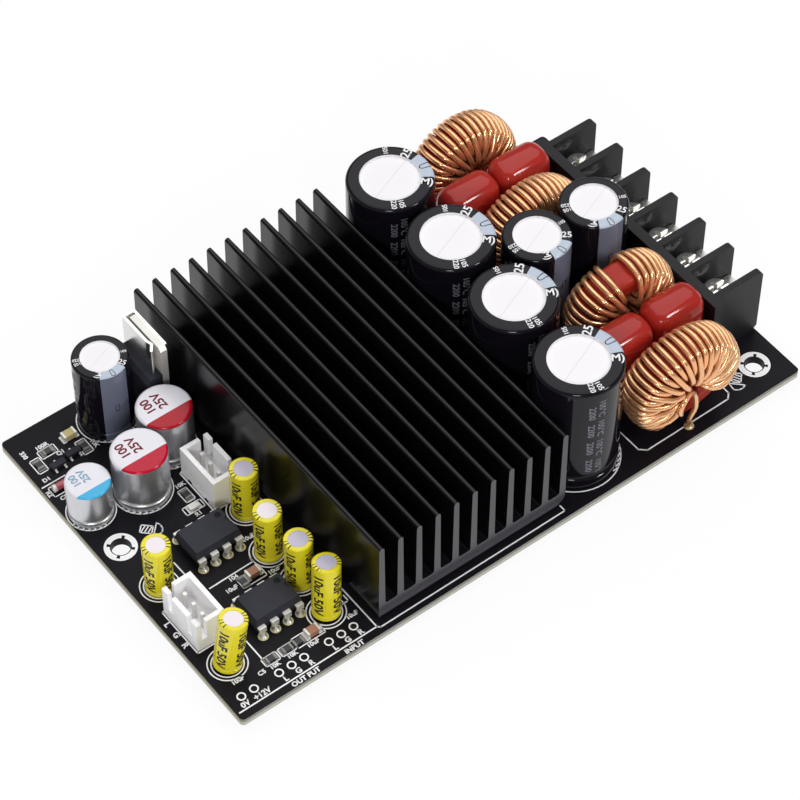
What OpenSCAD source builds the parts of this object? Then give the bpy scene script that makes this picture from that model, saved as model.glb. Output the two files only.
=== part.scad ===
// Two-channel audio power amplifier board: through-hole parts on one circuit board, with a finned
// heatsink, four wound toroids, electrolytic and film capacitors and a six-way screw terminal.
// Millimetres. Z is up from the soldered lead tips, X runs along the board to the screw terminal,
// Y runs from the front edge, with the open pin holes, to the rear edge. The board's length and
// width follow from the parts that stand on it.

/* [Board] */
// Thickness of the board
board_t = 1.6; // [1:0.1:2.4]
// Corner radius of the board
board_corner_r = 0.8; // [0.2:0.1:3]
// How far the soldered lead tips stand below the board
lead_tip_h = 1.8; // [1.5:0.1:3]
// Ring of solder round a lead
solder_ring = 0.5; // [0.3:0.05:0.7]
// Play round a lead in its drilled hole
lead_play = 0.1; // [0.05:0.01:0.2]
// Diameter of the fixing holes
fixing_hole_d = 3.4; // [2.2:0.1:4.5]
// Left fixing hole, distance from the left edge
fixing_left_inset = 4.1; // [3:0.1:6]
// Left fixing hole, distance behind the board's middle
fixing_left_y = 4.9; // [3:0.1:6]
// Right fixing holes, distance from the right edge
fixing_right_inset = 5.6; // [4:0.1:7]
// Right fixing holes, distance from the front and rear edges
fixing_edge_inset = 5.9; // [4:0.1:8]
// Diameter of the open pin holes
pin_hole_d = 1; // [0.7:0.05:1.5]
// Pitch of the open pin holes
pin_hole_pitch = 2.54; // [2:0.01:2.9]
// First open pin hole, distance from the left edge
pin_hole_left = 2.7; // [2:0.1:5]
// Open pin holes, distance from the front edge
pin_hole_front = 4; // [2.5:0.1:5]
// Least space between two parts that stand side by side
part_space = 0.3; // [0.2:0.05:1]

/* [Heatsink] */
// Number of fins
fin_count = 11; // [7:1:15]
// Distance from fin to fin
fin_pitch = 3.84; // [3.2:0.02:5]
// Thickness of a fin at its root
fin_root_t = 1.35; // [1:0.05:1.8]
// Thickness of a fin at its tip
fin_tip_t = 1.05; // [0.8:0.05:1.4]
// Height of the heatsink, base and fins
heatsink_h = 18.5; // [12:0.5:30]
// Thickness of the heatsink's base
heatsink_base_t = 3; // [2:0.1:5]
// Radius of the base's lower corner beside the large capacitors
base_corner_r = 2.3; // [0.5:0.1:3]
// Fillet between fin and base
fin_fillet_r = 0.6; // [0.3:0.05:0.9]
// Heatsink's front end, distance from the board's front edge
heatsink_front_inset = 2.2; // [0:0.1:6]
// How far the heatsink reaches past the board's rear edge
heatsink_overhang = 0.2; // [0:0.1:3]
// Thread diameter of the heatsink screws
heatsink_screw_d = 2.5; // [2:0.1:3]
// Distance of the heatsink screws from the heatsink's ends
heatsink_screw_inset = 7; // [5:0.5:12]

/* [Power amplifier chip] */
// Body length of the chip under the heatsink
chip_l = 14; // [10:0.1:18]
// Body width of the chip
chip_w = 6.1; // [5:0.1:8]
// Height of the chip from the board to its cooling face
chip_h = 1.2; // [1:0.05:2]
// Leads on each side of the chip
chip_leads = 22; // [10:1:26]

/* [Large capacitors] */
// Diameter of the four large capacitors
bulk_d = 15.8; // [12:0.1:20]
// Height of the large capacitors
bulk_h = 25.6; // [18:0.1:40]
// Space between two large capacitors
bulk_space = 1.5; // [0.4:0.1:3]
// Space between the large capacitors and the heatsink
bulk_heatsink_space = 0.3; // [0.2:0.05:1]
// Diameter of the two medium capacitors
medium_d = 12.4; // [10:0.1:16]
// Height of the medium capacitors
medium_h = 25; // [16:0.1:35]
// Space between the medium and the large capacitors
medium_bulk_space = 0.8; // [0.3:0.1:2]

/* [Left-hand capacitors] */
// Diameter of the slim capacitor at the rear left
slim_d = 10; // [8:0.1:12.5]
// Height of the slim capacitor
slim_h = 17; // [12:0.1:25]
// Space between the slim capacitor and the board's rear edge
slim_edge_space = 1.6; // [0.5:0.1:3]
// Diameter of the two red-marked polymer capacitors
polymer_d = 10; // [8:0.1:12.5]
// Height of the red-marked polymer capacitors
polymer_h = 11; // [8:0.1:14]
// Diameter of the blue-marked polymer capacitor
polymer_small_d = 8; // [6:0.1:10]
// Height of the blue-marked polymer capacitor
polymer_small_h = 8.5; // [6:0.1:12]
// Diameter of the small signal capacitors
signal_d = 5; // [4:0.1:6.3]
// Height of the small signal capacitors
signal_h = 11.5; // [7:0.1:15]

/* [Toroids] */
// Inner diameter of a ring core
core_id = 9.8; // [7.5:0.1:12]
// Radial thickness of a ring core
core_ring_t = 4.2; // [3.4:0.1:6]
// Width of a ring core along its axis
core_w = 5.6; // [4.4:0.1:8]
// Edge radius of a ring core
core_edge_r = 1.2; // [0.8:0.1:1.6]
// Diameter of the winding wire
wire_d = 0.92; // [0.7:0.02:1.2]
// Space between two turns at the hole
turn_space = 0.14; // [0.05:0.01:0.4]
// Part of the circle that is wound
wound_deg = 300; // [220:1:310]
// Lift of a wound ring above the board
toroid_lift = 0.3; // [0.1:0.1:2]
// How far the rear winding reaches past the board's rear edge
toroid_overhang = 0.92; // [0:0.02:2]

/* [Film capacitors] */
// Length of a film capacitor
film_l = 11.2; // [9:0.1:15]
// Thickness of a film capacitor
film_t = 7.4; // [5:0.1:9]
// Height of a film capacitor's body
film_h = 16.7; // [10:0.1:22]
// Lift of a film capacitor's body above the board
film_lift = 2.2; // [0.5:0.1:3]
// Lead pitch of a film capacitor
film_lead_pitch = 7.5; // [5:0.1:9]

/* [Screw terminal] */
// Depth of the terminal from back to front
terminal_depth = 12.4; // [10:0.1:16]
// Height of the terminal's dividers
terminal_h = 15.5; // [12.5:0.1:20]
// Height of the floor under the contacts
terminal_floor_h = 7.6; // [6:0.1:9.5]
// Thickness of the terminal's back wall
terminal_back_t = 2; // [1.5:0.1:3]
// Thickness of a divider
divider_t = 1.3; // [0.8:0.1:2]
// Length of the block beyond its end dividers
terminal_end_l = 1.4; // [0.5:0.1:2.5]
// How far the dividers reach past the board's right edge
terminal_overhang = 0.3; // [0:0.1:2]
// Terminal's middle, distance in front of the board's middle
terminal_front_offset = 0.4; // [0:0.1:1]
// Thread diameter of a terminal screw
screw_d = 3; // [2.4:0.1:3.6]
// Head diameter of a terminal screw
screw_head_d = 5.5; // [4.5:0.1:7]
// Head height of a terminal screw
screw_head_h = 2.1; // [1.5:0.1:2.6]
// Space between a screw head and the dividers beside it
head_space = 0.41; // [0.3:0.01:0.8]
// Thickness of a clamp plate
clamp_t = 0.9; // [0.6:0.1:1.2]
// Thickness of a terminal contact
contact_t = 0.8; // [0.5:0.1:1]

/* [Plug connectors] */
// Pin pitch of a plug connector
plug_pitch = 2.5; // [2:0.01:3]
// Pins of a plug connector
plug_pins = 3; // [2:1:4]
// Width of a plug connector
plug_w = 5.75; // [4.8:0.05:7]
// Height of a plug connector
plug_h = 7; // [5:0.1:9]
// Wall of a plug connector
plug_wall = 0.85; // [0.6:0.05:1.1]
// Thickness of a square pin
plug_pin_t = 0.64; // [0.5:0.01:0.8]

/* [Signal chips] */
// Body width of a signal chip
dip_w = 6.4; // [5.2:0.1:7.8]
// Body height of a signal chip
dip_h = 3.3; // [2.6:0.1:4.2]
// Length of the body past its end leads
dip_end = 0.84; // [0.75:0.01:1.4]
// Lift of a signal chip above the board
dip_lift = 0.6; // [0.3:0.1:1.2]
// Lead pitch of a signal chip
dip_pitch = 2.54; // [2:0.01:3.1]
// Distance of a lead row from the body's side
dip_reach = 0.61; // [0.4:0.01:1]

/* [Regulator] */
// Width of the regulator
reg_w = 10; // [8:0.1:12.5]
// Height of the regulator's plastic body
reg_body_h = 9; // [7:0.1:11]
// Depth of the regulator, body and tab
reg_depth = 4.5; // [3.6:0.1:5.5]
// Height of the free part of the tab
reg_tab_h = 6.5; // [5:0.1:8]
// Thickness of the tab
reg_tab_t = 1.3; // [1:0.05:1.6]
// Height of the regulator's body above the board
reg_lift = 2.6; // [1.5:0.1:5]
// Thickness of the spring clip
clip_t = 0.5; // [0.3:0.05:0.7]
// Space between the regulator and the heatsink
reg_heatsink_space = 1.9; // [1:0.1:4]
// Space between the regulator and the board's rear edge
reg_edge_space = 2.6; // [1.2:0.1:5]

/* [Hidden] */
$fn = 48;
eps = 0.02;
touch = 0.05;
big = 200;

lead_d = 0.8;
thin_lead_d = 0.5;
thick_lead_d = 1;
big_lead_pitch = 7.5;
medium_lead_pitch = 5;
small_lead_pitch = 3.5;
signal_lead_pitch = 2;
board_top = lead_tip_h + board_t;

// Toroid sizes with their wire: at the hole the turns lie in three layers, in this order
wire_r = wire_d / 2;
wire_gap = 0.1;
core_od = core_id + 2 * core_ring_t;
loop_r_in = core_id / 2 - wire_gap - wire_r;
loop_h = core_w / 2 + wire_gap + wire_r;
loop_cut = 1;
layer_sink = [0, 1, 0, 2];
layer_rise = [0, 1, 0, 1.2];
wound_h = loop_h + max(layer_rise) * wire_d + wire_r;
wound_start = -60;

// Toroids from the rear: space to the large capacitors, extra lift, tilt, yaw, slack, bare arc
// and how much wider than its tight right side the left side is wound
toroids = [
    [3.3, 0, -1, -3, 0, 0, 0.1],
    [2.7, 0, 3, -2, 0.3, 0, 0.05],
    [3.2, 2.2, 8, -4, 0, 24, 0.3],
    [0.7, 0, 7, -4, 0.7, 0, 0.1]
];
toroid_count = len(toroids);
function toroid_tilt(i) = toroids[i][2];
function toroid_yaw(i) = toroids[i][3];
function bare_arc(i) = toroids[i][5];
function thinning(i) = toroids[i][6];
function loop_r_out(i) = core_od / 2 + wire_gap + wire_r + toroids[i][4];
function wound_r(i) = loop_r_out(i) + wire_r;

// Plug, signal chip and terminal sizes that the layout needs
plug_l = (plug_pins - 1) * plug_pitch + 4.9;
dip_leads = 4;
dip_l = (dip_leads - 1) * dip_pitch + 2 * dip_end;
dip_row = dip_w + 2 * dip_reach;
ways = 6;
bay_w = screw_head_d + 2 * head_space;
way_pitch = bay_w + divider_t;
terminal_l = ways * way_pitch + divider_t + 2 * terminal_end_l;

// Rows of the power area from the rear edge: toroid, film pair, toroid, medium pair and again
row_half = [wound_h, film_t / 2, wound_h, medium_d / 2, wound_h, film_t / 2, wound_h];
row_space = [-toroid_overhang, 2.28, 0.48, 0.53, 1.08, 0.53, 0.98];
front_strip = 0.45;
row_end = len(row_half) - 1;
function row_in(i) =
    row_space[i] + row_half[i] + (i == 0 ? 0 : row_in(i - 1) + row_half[i - 1]);
rows_w = row_in(row_end) + row_half[row_end] + front_strip;

// Left-hand column from the rear edge: regulator, polymer capacitor, plug, signal capacitors
reg_in = reg_edge_space + reg_w / 2;
polymer_rear_in = reg_in + reg_w / 2 + part_space + polymer_d / 2;
plug_polymer_space = 1.55;
plug_rear_in = polymer_rear_in + polymer_d / 2 + plug_polymer_space + plug_l / 2;
signal_space = [0.65, 4.5, 2.9, 3];
function signal_in(i) = signal_d / 2 + signal_space[i]
    + (i == 0 ? plug_rear_in + plug_l / 2 : signal_in(i - 1) + signal_d / 2);
signal_front_space = 0.5;

// Board width from its widest column
bulk_pitch = bulk_d + bulk_space;
board_edge_space = 1;
fixing_clear = 2;
board_w = max(
    rows_w,
    3 * bulk_pitch + bulk_d + 2 * board_edge_space,
    signal_in(3) + signal_d / 2 + signal_front_space + pin_hole_d / 2 + pin_hole_front,
    terminal_l + 2 * (terminal_front_offset + fixing_edge_inset + fixing_hole_d / 2 + fixing_clear)
);
front_y = -board_w / 2;
rear_y = board_w / 2;
function row_y(i) = rows_w / 2 - row_in(i);

// Board length from the left edge to the terminal
polymer_edge_space = 0.45;
polymer_small_space = 0.68;
polymer_heatsink_space = 1.7;
polymer_turn = 31;
polymer_small_turn = 9.5;
polymer_step = polymer_d + part_space;
polymer_small_step = (polymer_d + polymer_small_d) / 2 + polymer_small_space;
signal_area_l = polymer_edge_space + polymer_small_d / 2
    + polymer_small_step * cos(polymer_small_turn) + polymer_step * cos(polymer_turn)
    + polymer_d / 2 + polymer_heatsink_space;
heatsink_w = (fin_count - 1) * fin_pitch + fin_root_t;
heatsink_l = board_w - heatsink_front_inset + heatsink_overhang;
medium_y = row_y(3);
medium_step = (bulk_d + medium_d) / 2 + medium_bulk_space;
bulk_y = [for (i = [0:3]) (1.5 - i) * bulk_pitch];
medium_aside = min([for (y = bulk_y) abs(medium_y - y)]);
medium_past_bulk = sqrt(max(0, pow(medium_step, 2) - pow(medium_aside, 2)));
power_area_l = part_space + max(concat(
    [2 * (film_l + part_space)],
    [medium_past_bulk - bulk_d / 2 + 1.5 * medium_d + part_space],
    [for (i = [0:toroid_count - 1]) toroids[i][0] + 2 * wound_r(i)]
));
board_l = signal_area_l + heatsink_w + bulk_heatsink_space + bulk_d + power_area_l
    + terminal_depth - terminal_overhang;
left_x = -board_l / 2;
right_x = board_l / 2;
heatsink_x = left_x + signal_area_l;
heatsink_y = (heatsink_front_inset + heatsink_overhang) / 2;
bulk_x = heatsink_x + heatsink_w + bulk_heatsink_space + bulk_d / 2;
power_x = bulk_x + bulk_d / 2;
terminal_x = right_x + terminal_overhang - terminal_depth;

// Winding: a wire loop round the core's section, carried round the ring and led into the board
loop_n = 8;
inner_corner = 4;
last_corner = 5;
function loop_at(i, j, k) =
    let (
        front = k < inner_corner ? 1 : -1,
        c = k < inner_corner ? k : loop_n - 1 - k,
        layer = j % len(layer_sink),
        h = c < 2 ? loop_h : loop_h + layer_rise[layer] * wire_d,
        r = c < 2 ? loop_r_out(i) : loop_r_in - layer_sink[layer] * wire_d
    )
    [
        c == 1 ? r - loop_cut : c == 2 ? r + loop_cut : r,
        front * (c == 0 || c == 3 ? h - loop_cut : h)
    ];
loop_share = [0, 0.05, 0.18, 0.23, 0.52, 0.57, 0.7, 0.75];
function layer_deg(sink, apart) =
    (wire_d + turn_space) / (apart * (loop_r_in - sink * wire_d)) * 180 / PI;
least_turn_deg = max(layer_deg(0, 2), layer_deg(1, 4), layer_deg(2, 4));
function turns(i) = floor((wound_deg - bare_arc(i)) * (1 - thinning(i)) / least_turn_deg);
bare_share = 0.59;
function turn_angle(i, j, k) =
    let (
        share = (j + loop_share[k]) / (turns(i) - 1 + loop_share[last_corner]),
        thinned = share + thinning(i) * (pow(share, 2) - share),
        crossed = j + (k < inner_corner ? 0 : 1) > floor(bare_share * turns(i))
    )
    wound_start + (wound_deg - bare_arc(i)) * thinned + (crossed ? bare_arc(i) : 0);
lead_swing = 20;
function on_ring(a, p) = [p[0] * cos(a), p[1], p[0] * sin(a)];
function toroid_mid(i) = [
    power_x + toroids[i][0] + wound_r(i),
    row_y(2 * i),
    toroid_lift + toroids[i][1] + loop_cut + wire_r
        + (loop_r_out(i) - loop_cut) * cos(toroid_tilt(i))
        + (loop_h - loop_cut) * abs(sin(toroid_tilt(i)))
];
function tilted(p, t) = [p.x, p.y * cos(t) - p.z * sin(t), p.y * sin(t) + p.z * cos(t)];
function yawed(p, a) = [p.x * cos(a) - p.y * sin(a), p.x * sin(a) + p.y * cos(a), p.z];
function seated(p, i) = toroid_mid(i) + yawed(tilted(p, toroid_tilt(i)), toroid_yaw(i));
function wound_path(i) =
    let (
        count = turns(i),
        mid = toroid_mid(i),
        first = seated(on_ring(wound_start, [loop_r_out(i), 0]), i),
        wound = [
            for (j = [0:count - 1])
                for (k = [0:j < count - 1 ? loop_n - 1 : last_corner])
                    seated(on_ring(turn_angle(i, j, k), loop_at(i, j, k)), i)
        ],
        bow = seated(on_ring(wound_start + wound_deg + lead_swing, [loop_r_in + loop_cut, -wound_h]), i),
        foot = [mid.x + wire_r, mid.y + wound_r(i) * sin(toroid_tilt(i)) - loop_h - wire_d]
    )
    concat(
        [[first.x, first.y, -board_t], first - [0, 0, wire_d]],
        wound,
        [bow, [foot.x, foot.y, 2 * wire_d], [foot.x, foot.y, -board_t]]
    );

// Reach of the whole part, which centres it over its origin
toroid_reach = [for (i = [0:toroid_count - 1]) for (p = wound_path(i)) p.y];
reach_front = min(front_y, min(toroid_reach) - wire_r);
reach_rear = max(rear_y + heatsink_overhang, max(toroid_reach) + wire_r);
shift = [-(left_x + right_x + terminal_overhang) / 2, -(reach_front + reach_rear) / 2];

// Capacitor places on the board
bulk_places = [for (y = bulk_y) [bulk_x, y]];
medium_places = [
    for (i = [0, 1]) [bulk_x + medium_past_bulk + i * (medium_d + part_space), medium_y]
];
reg_back_x = heatsink_x - reg_heatsink_space;
reg_y = rear_y - reg_in;
slim_place = [
    reg_back_x - reg_depth - part_space - slim_d / 2,
    rear_y - slim_edge_space - slim_d / 2
];
polymer_rear_place = [heatsink_x - polymer_heatsink_space - polymer_d / 2, rear_y - polymer_rear_in];
polymer_front_place = polymer_rear_place - polymer_step * [cos(polymer_turn), sin(polymer_turn)];
polymer_small_place = polymer_front_place
    + polymer_small_step * [-cos(polymer_small_turn), sin(polymer_small_turn)];

// Plugs, signal capacitors with the lean of their tops, and signal chips
plug_heatsink_space = 2.5;
plug_edge_space = 2.2;
corner_cap_edge_space = [2.2, 8.15];
rear_cap_edge_space = 2.3;
plug_cap_space = [2.3, 2.5];
plug_front_in = corner_cap_edge_space.y + signal_d + plug_cap_space[0] + plug_l / 2;
plug_places = [
    [heatsink_x - plug_heatsink_space - plug_w / 2, rear_y - plug_rear_in],
    [left_x + plug_edge_space + plug_w / 2, front_y + plug_front_in]
];
signal_heatsink_space = [1.5, 3.5, 2.9, 3.3];
signal_places = concat(
    [
        for (i = [0:3])
            [heatsink_x - signal_heatsink_space[i] - signal_d / 2, rear_y - signal_in(i)]
    ],
    [
        [left_x + corner_cap_edge_space.x + signal_d / 2, front_y + corner_cap_edge_space.y + signal_d / 2],
        [
            left_x + rear_cap_edge_space + signal_d / 2,
            plug_places[1].y + (plug_l + signal_d) / 2 + plug_cap_space[1]
        ]
    ]
);
signal_leans = [[0, 0], [0, 0], [0, 0], [6, 6], [8, -1], [0, 0]];
dip_cap_space = 0.65;
dip_plug_space = 1.44;
dip_mid_space = 9.5;
dip_x = signal_places[2].x - signal_d / 2 - dip_cap_space - dip_l / 2;
dip_rear_y = plug_places[0].y - plug_l / 2 - dip_plug_space - dip_row / 2;
dip_places = [[dip_x, dip_rear_y], [dip_x, dip_rear_y - dip_row - dip_mid_space]];

// Small parts: middle of the space between the signal chips, and the slim capacitor's left side
dip_gap_y = dip_rear_y - (dip_row + dip_mid_space) / 2 - 1.3;
slim_left_x = slim_place.x - slim_d / 2;

film_x = [for (i = [0, 1]) power_x + part_space + film_l / 2 + i * (film_l + part_space)];
film_places = [for (row = [1, 5], i = [1, 0]) [film_x[i], row_y(row)]];

// Terminal ways, counted from the rear
way_y = [for (i = [0:ways - 1]) -terminal_front_offset + (ways / 2 - 0.5 - i) * way_pitch];
divider_y = [for (i = [0:ways]) -terminal_front_offset + (ways / 2 - i) * way_pitch];
contact_w = bay_w - 0.3;
contact_tab_h = 3;
contact_pin = [1, 0.8];
clamp_space = 0.26;
clamp_side = bay_w - 2 * clamp_space;
clamp_gap = 0.1;
screw_play = 0.06;
clamp_z = terminal_floor_h + contact_t + clamp_gap;
head_z = clamp_z + clamp_t + touch;
screw_below = 5;
screw_x = terminal_x + terminal_back_t + contact_t + 2 * clamp_gap + clamp_side / 2;
contact_pin_x = terminal_x + terminal_back_t + contact_t + contact_pin.x / 2;

plug_floor_t = 2;
plug_pin_rise = 5.8;
plug_drill = plug_pin_t * sqrt(2);

dip_lead_w = 1.4;
dip_lead_t = 0.28;
dip_tip_w = 0.5;
dip_draft = 0.35;
dip_band = 0.4;
dip_mid_z = dip_lift + dip_h / 2;
dip_drill = 0.6;

reg_lead_pitch = 2.54;
reg_lead = [0.5, 0.8];
reg_top_z = reg_lift + reg_body_h + reg_tab_h;

// Drilled leads: place and drill diameter
function pair(p, pitch, d) = [for (s = [-1, 1]) [p.x + s * pitch / 2, p.y, d]];
function pairs(list, pitch, d) = [for (p = list) each pair(p, pitch, d)];
function dip_points(p) = [
    for (i = [0:dip_leads - 1])
        for (s = [-1, 1])
            [p.x + (i - (dip_leads - 1) / 2) * dip_pitch, p.y + s * dip_row / 2, dip_drill]
];
function plug_points(p) = [
    for (i = [0:plug_pins - 1]) [p.x, p.y + (i - (plug_pins - 1) / 2) * plug_pitch, plug_drill]
];
function toroid_points(i) = let (path = wound_path(i)) [
    [path[0].x, path[0].y, wire_d],
    [path[len(path) - 1].x, path[len(path) - 1].y, wire_d]
];
drilled = concat(
    pairs(bulk_places, big_lead_pitch, thick_lead_d),
    pairs(medium_places, medium_lead_pitch, lead_d),
    pairs([slim_place, polymer_rear_place, polymer_front_place], medium_lead_pitch, lead_d),
    pairs([polymer_small_place], small_lead_pitch, lead_d),
    pairs(signal_places, signal_lead_pitch, thin_lead_d),
    pairs(film_places, film_lead_pitch, lead_d),
    [for (i = [0:toroid_count - 1]) each toroid_points(i)],
    [for (p = dip_places) each dip_points(p)],
    [for (p = plug_places) each plug_points(p)],
    [for (y = way_y) [contact_pin_x, y, norm(contact_pin)]],
    [for (i = [-1:1]) [reg_back_x - reg_depth / 2, reg_y + i * reg_lead_pitch, norm(reg_lead)]]
);
fixing_holes = [
    [left_x + fixing_left_inset, fixing_left_y],
    [right_x - fixing_right_inset, front_y + fixing_edge_inset],
    [right_x - fixing_right_inset, rear_y - fixing_edge_inset]
];
pin_hole_steps = [0, 1, 3, 4, 5, 7, 8, 9];
heatsink_mid_x = heatsink_x + heatsink_w / 2;
heatsink_screw_x = heatsink_mid_x + fin_pitch / 2 * (1 - fin_count % 2);
heatsink_screw_y = [for (s = [-1, 1]) heatsink_y + s * (heatsink_l / 2 - heatsink_screw_inset)];
heatsink_screw_play = 0.3;
screw_head_low_h = 1.4;
screw_grip = 0.05;

// Round tube along a path, carried from ring to ring without twist
tube_sides = 5;
function unit(v) = v / norm(v);
function along(path, i) =
    let (last = len(path) - 1)
    unit(path[min(i + 1, last)] - path[max(i - 1, 0)]);
function square_to(v, t) = unit(v - t * (v * t));
function tube_normals(path) = [
    for (
        i = 0, n = square_to([1, 0.2, 0.1], along(path, 0));
        i < len(path);
        i = i + 1, n = square_to(n, along(path, min(i, len(path) - 1)))
    ) n
];
module tube(path, r) {
    normals = tube_normals(path);
    count = len(path);
    points = [
        for (i = [0:count - 1])
            for (s = [0:tube_sides - 1])
                let (a = s * 360 / tube_sides, t = along(path, i), n = normals[i])
                    path[i] + r * (cos(a) * n + sin(a) * cross(t, n))
    ];
    function at(i, s) = i * tube_sides + s % tube_sides;
    sides = [
        for (i = [0:count - 2])
            for (s = [0:tube_sides - 1])
                each [
                    [at(i, s), at(i + 1, s + 1), at(i, s + 1)],
                    [at(i, s), at(i + 1, s), at(i + 1, s + 1)]
                ]
    ];
    foot = [for (s = [0:tube_sides - 1]) s];
    tip = [for (s = [tube_sides - 1:-1:0]) at(count - 1, s)];
    polyhedron(points, concat([foot], sides, [tip]));
}

// Helpers
module on_board(p = [0, 0]) {
    translate([p.x + shift.x, p.y + shift.y, board_top])
        children();
}

module rounded(w, h, r) {
    square([w - 2 * r, h], center = true);
    square([w, h - 2 * r], center = true);
    for (x = [-1, 1], y = [-1, 1])
        translate([x * (w / 2 - r), y * (h / 2 - r)])
            circle(r);
}

module block(size, z = 0) {
    translate([-size.x / 2, -size.y / 2, z])
        cube(size);
}

module lead_pair(pitch, d, rise) {
    for (s = [-1, 1])
        translate([s * pitch / 2, 0, -board_t])
            cylinder(d = d, h = board_t + rise);
}

// Round can with a rolled rim, a sunk top and a crimp near its foot
module can(d, h, rim_w, rim_r, sink, crimp_z, crimp_depth) {
    rotate_extrude()
        difference() {
            union() {
                square([d / 2, h - rim_r]);
                square([d / 2 - rim_r, h]);
                translate([d / 2 - rim_r, h - rim_r])
                    circle(rim_r);
            }
            translate([-big, h - sink])
                square([big + d / 2 - rim_w, big]);
            translate([d / 2 + crimp_depth, crimp_z])
                circle(2 * crimp_depth);
        }
}

module sleeved_capacitor(p, d, h, lead_pitch, lead, lean = [0, 0]) {
    on_board(p) {
        translate([0, 0, d / 2 * sin(norm(lean))])
            rotate([-lean.y, lean.x, 0])
                can(d, h, rim_w = 0.155 * d, rim_r = 0.05 * d, sink = 0.03 * d,
                    crimp_z = 0.19 * d, crimp_depth = 0.03 * d);
        lead_pair(lead_pitch, lead, 1);
    }
}

module polymer_capacitor(p, d, h, lead_pitch) {
    on_board(p) {
        can(d, h, rim_w = 0.1 * d, rim_r = 0.06 * d, sink = 0, crimp_z = 0.2 * d, crimp_depth = 0.035 * d);
        lead_pair(lead_pitch, lead_d, 1);
    }
}

// Circuit board
module circuit_board() {
    color("#1c1a20")
        on_board()
            translate([0, 0, -board_t])
                linear_extrude(board_t)
                    difference() {
                        rounded(board_l, board_w, board_corner_r);
                        for (p = fixing_holes)
                            translate(p)
                                circle(d = fixing_hole_d);
                        for (k = pin_hole_steps)
                            translate([left_x + pin_hole_left + k * pin_hole_pitch, front_y + pin_hole_front])
                                circle(d = pin_hole_d);
                        for (p = drilled)
                            translate([p.x, p.y])
                                circle(d = p[2] + 2 * lead_play);
                        for (y = heatsink_screw_y)
                            translate([heatsink_screw_x, y])
                                circle(d = heatsink_screw_d + heatsink_screw_play);
                    }
}

module solder_joints() {
    color("#c9cacc")
        for (p = drilled)
            on_board(p)
                translate([0, 0, -board_top])
                    cylinder(h = lead_tip_h, r1 = p[2] / 2, r2 = p[2] / 2 + solder_ring);
}

// Heatsink extrusion and what it cools
module fin(i) {
    fin_h = heatsink_h - heatsink_base_t;
    x = fin_root_t / 2 + i * fin_pitch;
    tip_z = heatsink_h - fin_tip_t / 2;
    polygon([
        [x - fin_root_t / 2, heatsink_base_t - eps],
        [x + fin_root_t / 2, heatsink_base_t - eps],
        [x + fin_tip_t / 2, tip_z],
        [x - fin_tip_t / 2, tip_z]
    ]);
    translate([x, tip_z])
        circle(d = fin_tip_t);
}

module channel_fillets(i) {
    x0 = i * fin_pitch + fin_root_t;
    x1 = (i + 1) * fin_pitch;
    for (side = [0, 1])
        translate([side == 0 ? x0 - eps : x1 + eps, heatsink_base_t - eps])
            mirror([side, 0])
                difference() {
                    square(fin_fillet_r);
                    translate([fin_fillet_r, fin_fillet_r])
                        circle(fin_fillet_r);
                }
}

module heatsink_profile() {
    difference() {
        union() {
            square([heatsink_w, heatsink_base_t]);
            for (i = [0:fin_count - 1])
                fin(i);
            for (i = [0:fin_count - 2])
                channel_fillets(i);
        }
        translate([heatsink_w - base_corner_r, 0])
            difference() {
                translate([0, -eps])
                    square(base_corner_r + eps);
                translate([0, base_corner_r])
                    circle(base_corner_r);
            }
    }
}

module heatsink() {
    color("#29272c")
        on_board([heatsink_x, heatsink_y])
            translate([0, heatsink_l / 2, chip_h])
                difference() {
                    rotate([90, 0, 0])
                        linear_extrude(heatsink_l)
                            heatsink_profile();
                    for (y = heatsink_screw_y)
                        translate([heatsink_screw_x - heatsink_x, y - heatsink_y - heatsink_l / 2, -eps])
                            cylinder(d = heatsink_screw_d + 2 * screw_grip, h = heatsink_base_t - 0.4);
                }
}

module heatsink_screws() {
    reach = chip_h + board_t + heatsink_base_t - 0.6;
    color("#b9b9b6")
        for (y = heatsink_screw_y)
            on_board([heatsink_screw_x, y])
                translate([0, 0, -board_t])
                    difference() {
                        union() {
                            cylinder(d = heatsink_screw_d, h = reach);
                            translate([0, 0, -screw_head_low_h])
                                cylinder(d = 2 * heatsink_screw_d, h = screw_head_low_h);
                        }
                        for (a = [0, 90])
                            rotate(a)
                                block([1.6 * heatsink_screw_d, 0.6, 0.8], -screw_head_low_h - eps);
                    }
}

module amplifier_chip() {
    lead_pitch = chip_l / (chip_leads + 0.5);
    reach = 1;
    lead_t = 0.15;
    color("#2b2a2c")
        on_board([heatsink_mid_x, heatsink_y])
            difference() {
                union() {
                    block([chip_w, chip_l, chip_h - 0.1], 0.1);
                    for (i = [0:chip_leads - 1], s = [0, 1])
                        mirror([s, 0, 0])
                            translate([chip_w / 2 - 0.1, (i - (chip_leads - 1) / 2) * lead_pitch + 0.11, 0])
                                rotate([90, 0, 0])
                                    linear_extrude(0.22) {
                                        translate([0, chip_h / 2])
                                            square([0.45, lead_t]);
                                        translate([0.45 - lead_t, 0])
                                            square([lead_t, chip_h / 2 + lead_t]);
                                        translate([0.45 - lead_t, 0])
                                            square([reach - 0.45, lead_t]);
                                    }
                }
                translate([-chip_w / 3, chip_l / 2 - 1, 0])
                    cylinder(d = 0.8, h = 0.2);
            }
}

// Electrolytic and polymer capacitors
module bulk_capacitor(i) {
    color("#201e24")
        sleeved_capacitor(bulk_places[i], bulk_d, bulk_h, big_lead_pitch, thick_lead_d);
}

module medium_capacitor(i) {
    color("#201e24")
        sleeved_capacitor(medium_places[i], medium_d, medium_h, medium_lead_pitch, lead_d);
}

module signal_capacitor(i) {
    color("#d9cf3a")
        sleeved_capacitor(signal_places[i], signal_d, signal_h, signal_lead_pitch, thin_lead_d,
            signal_leans[i]);
}

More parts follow.
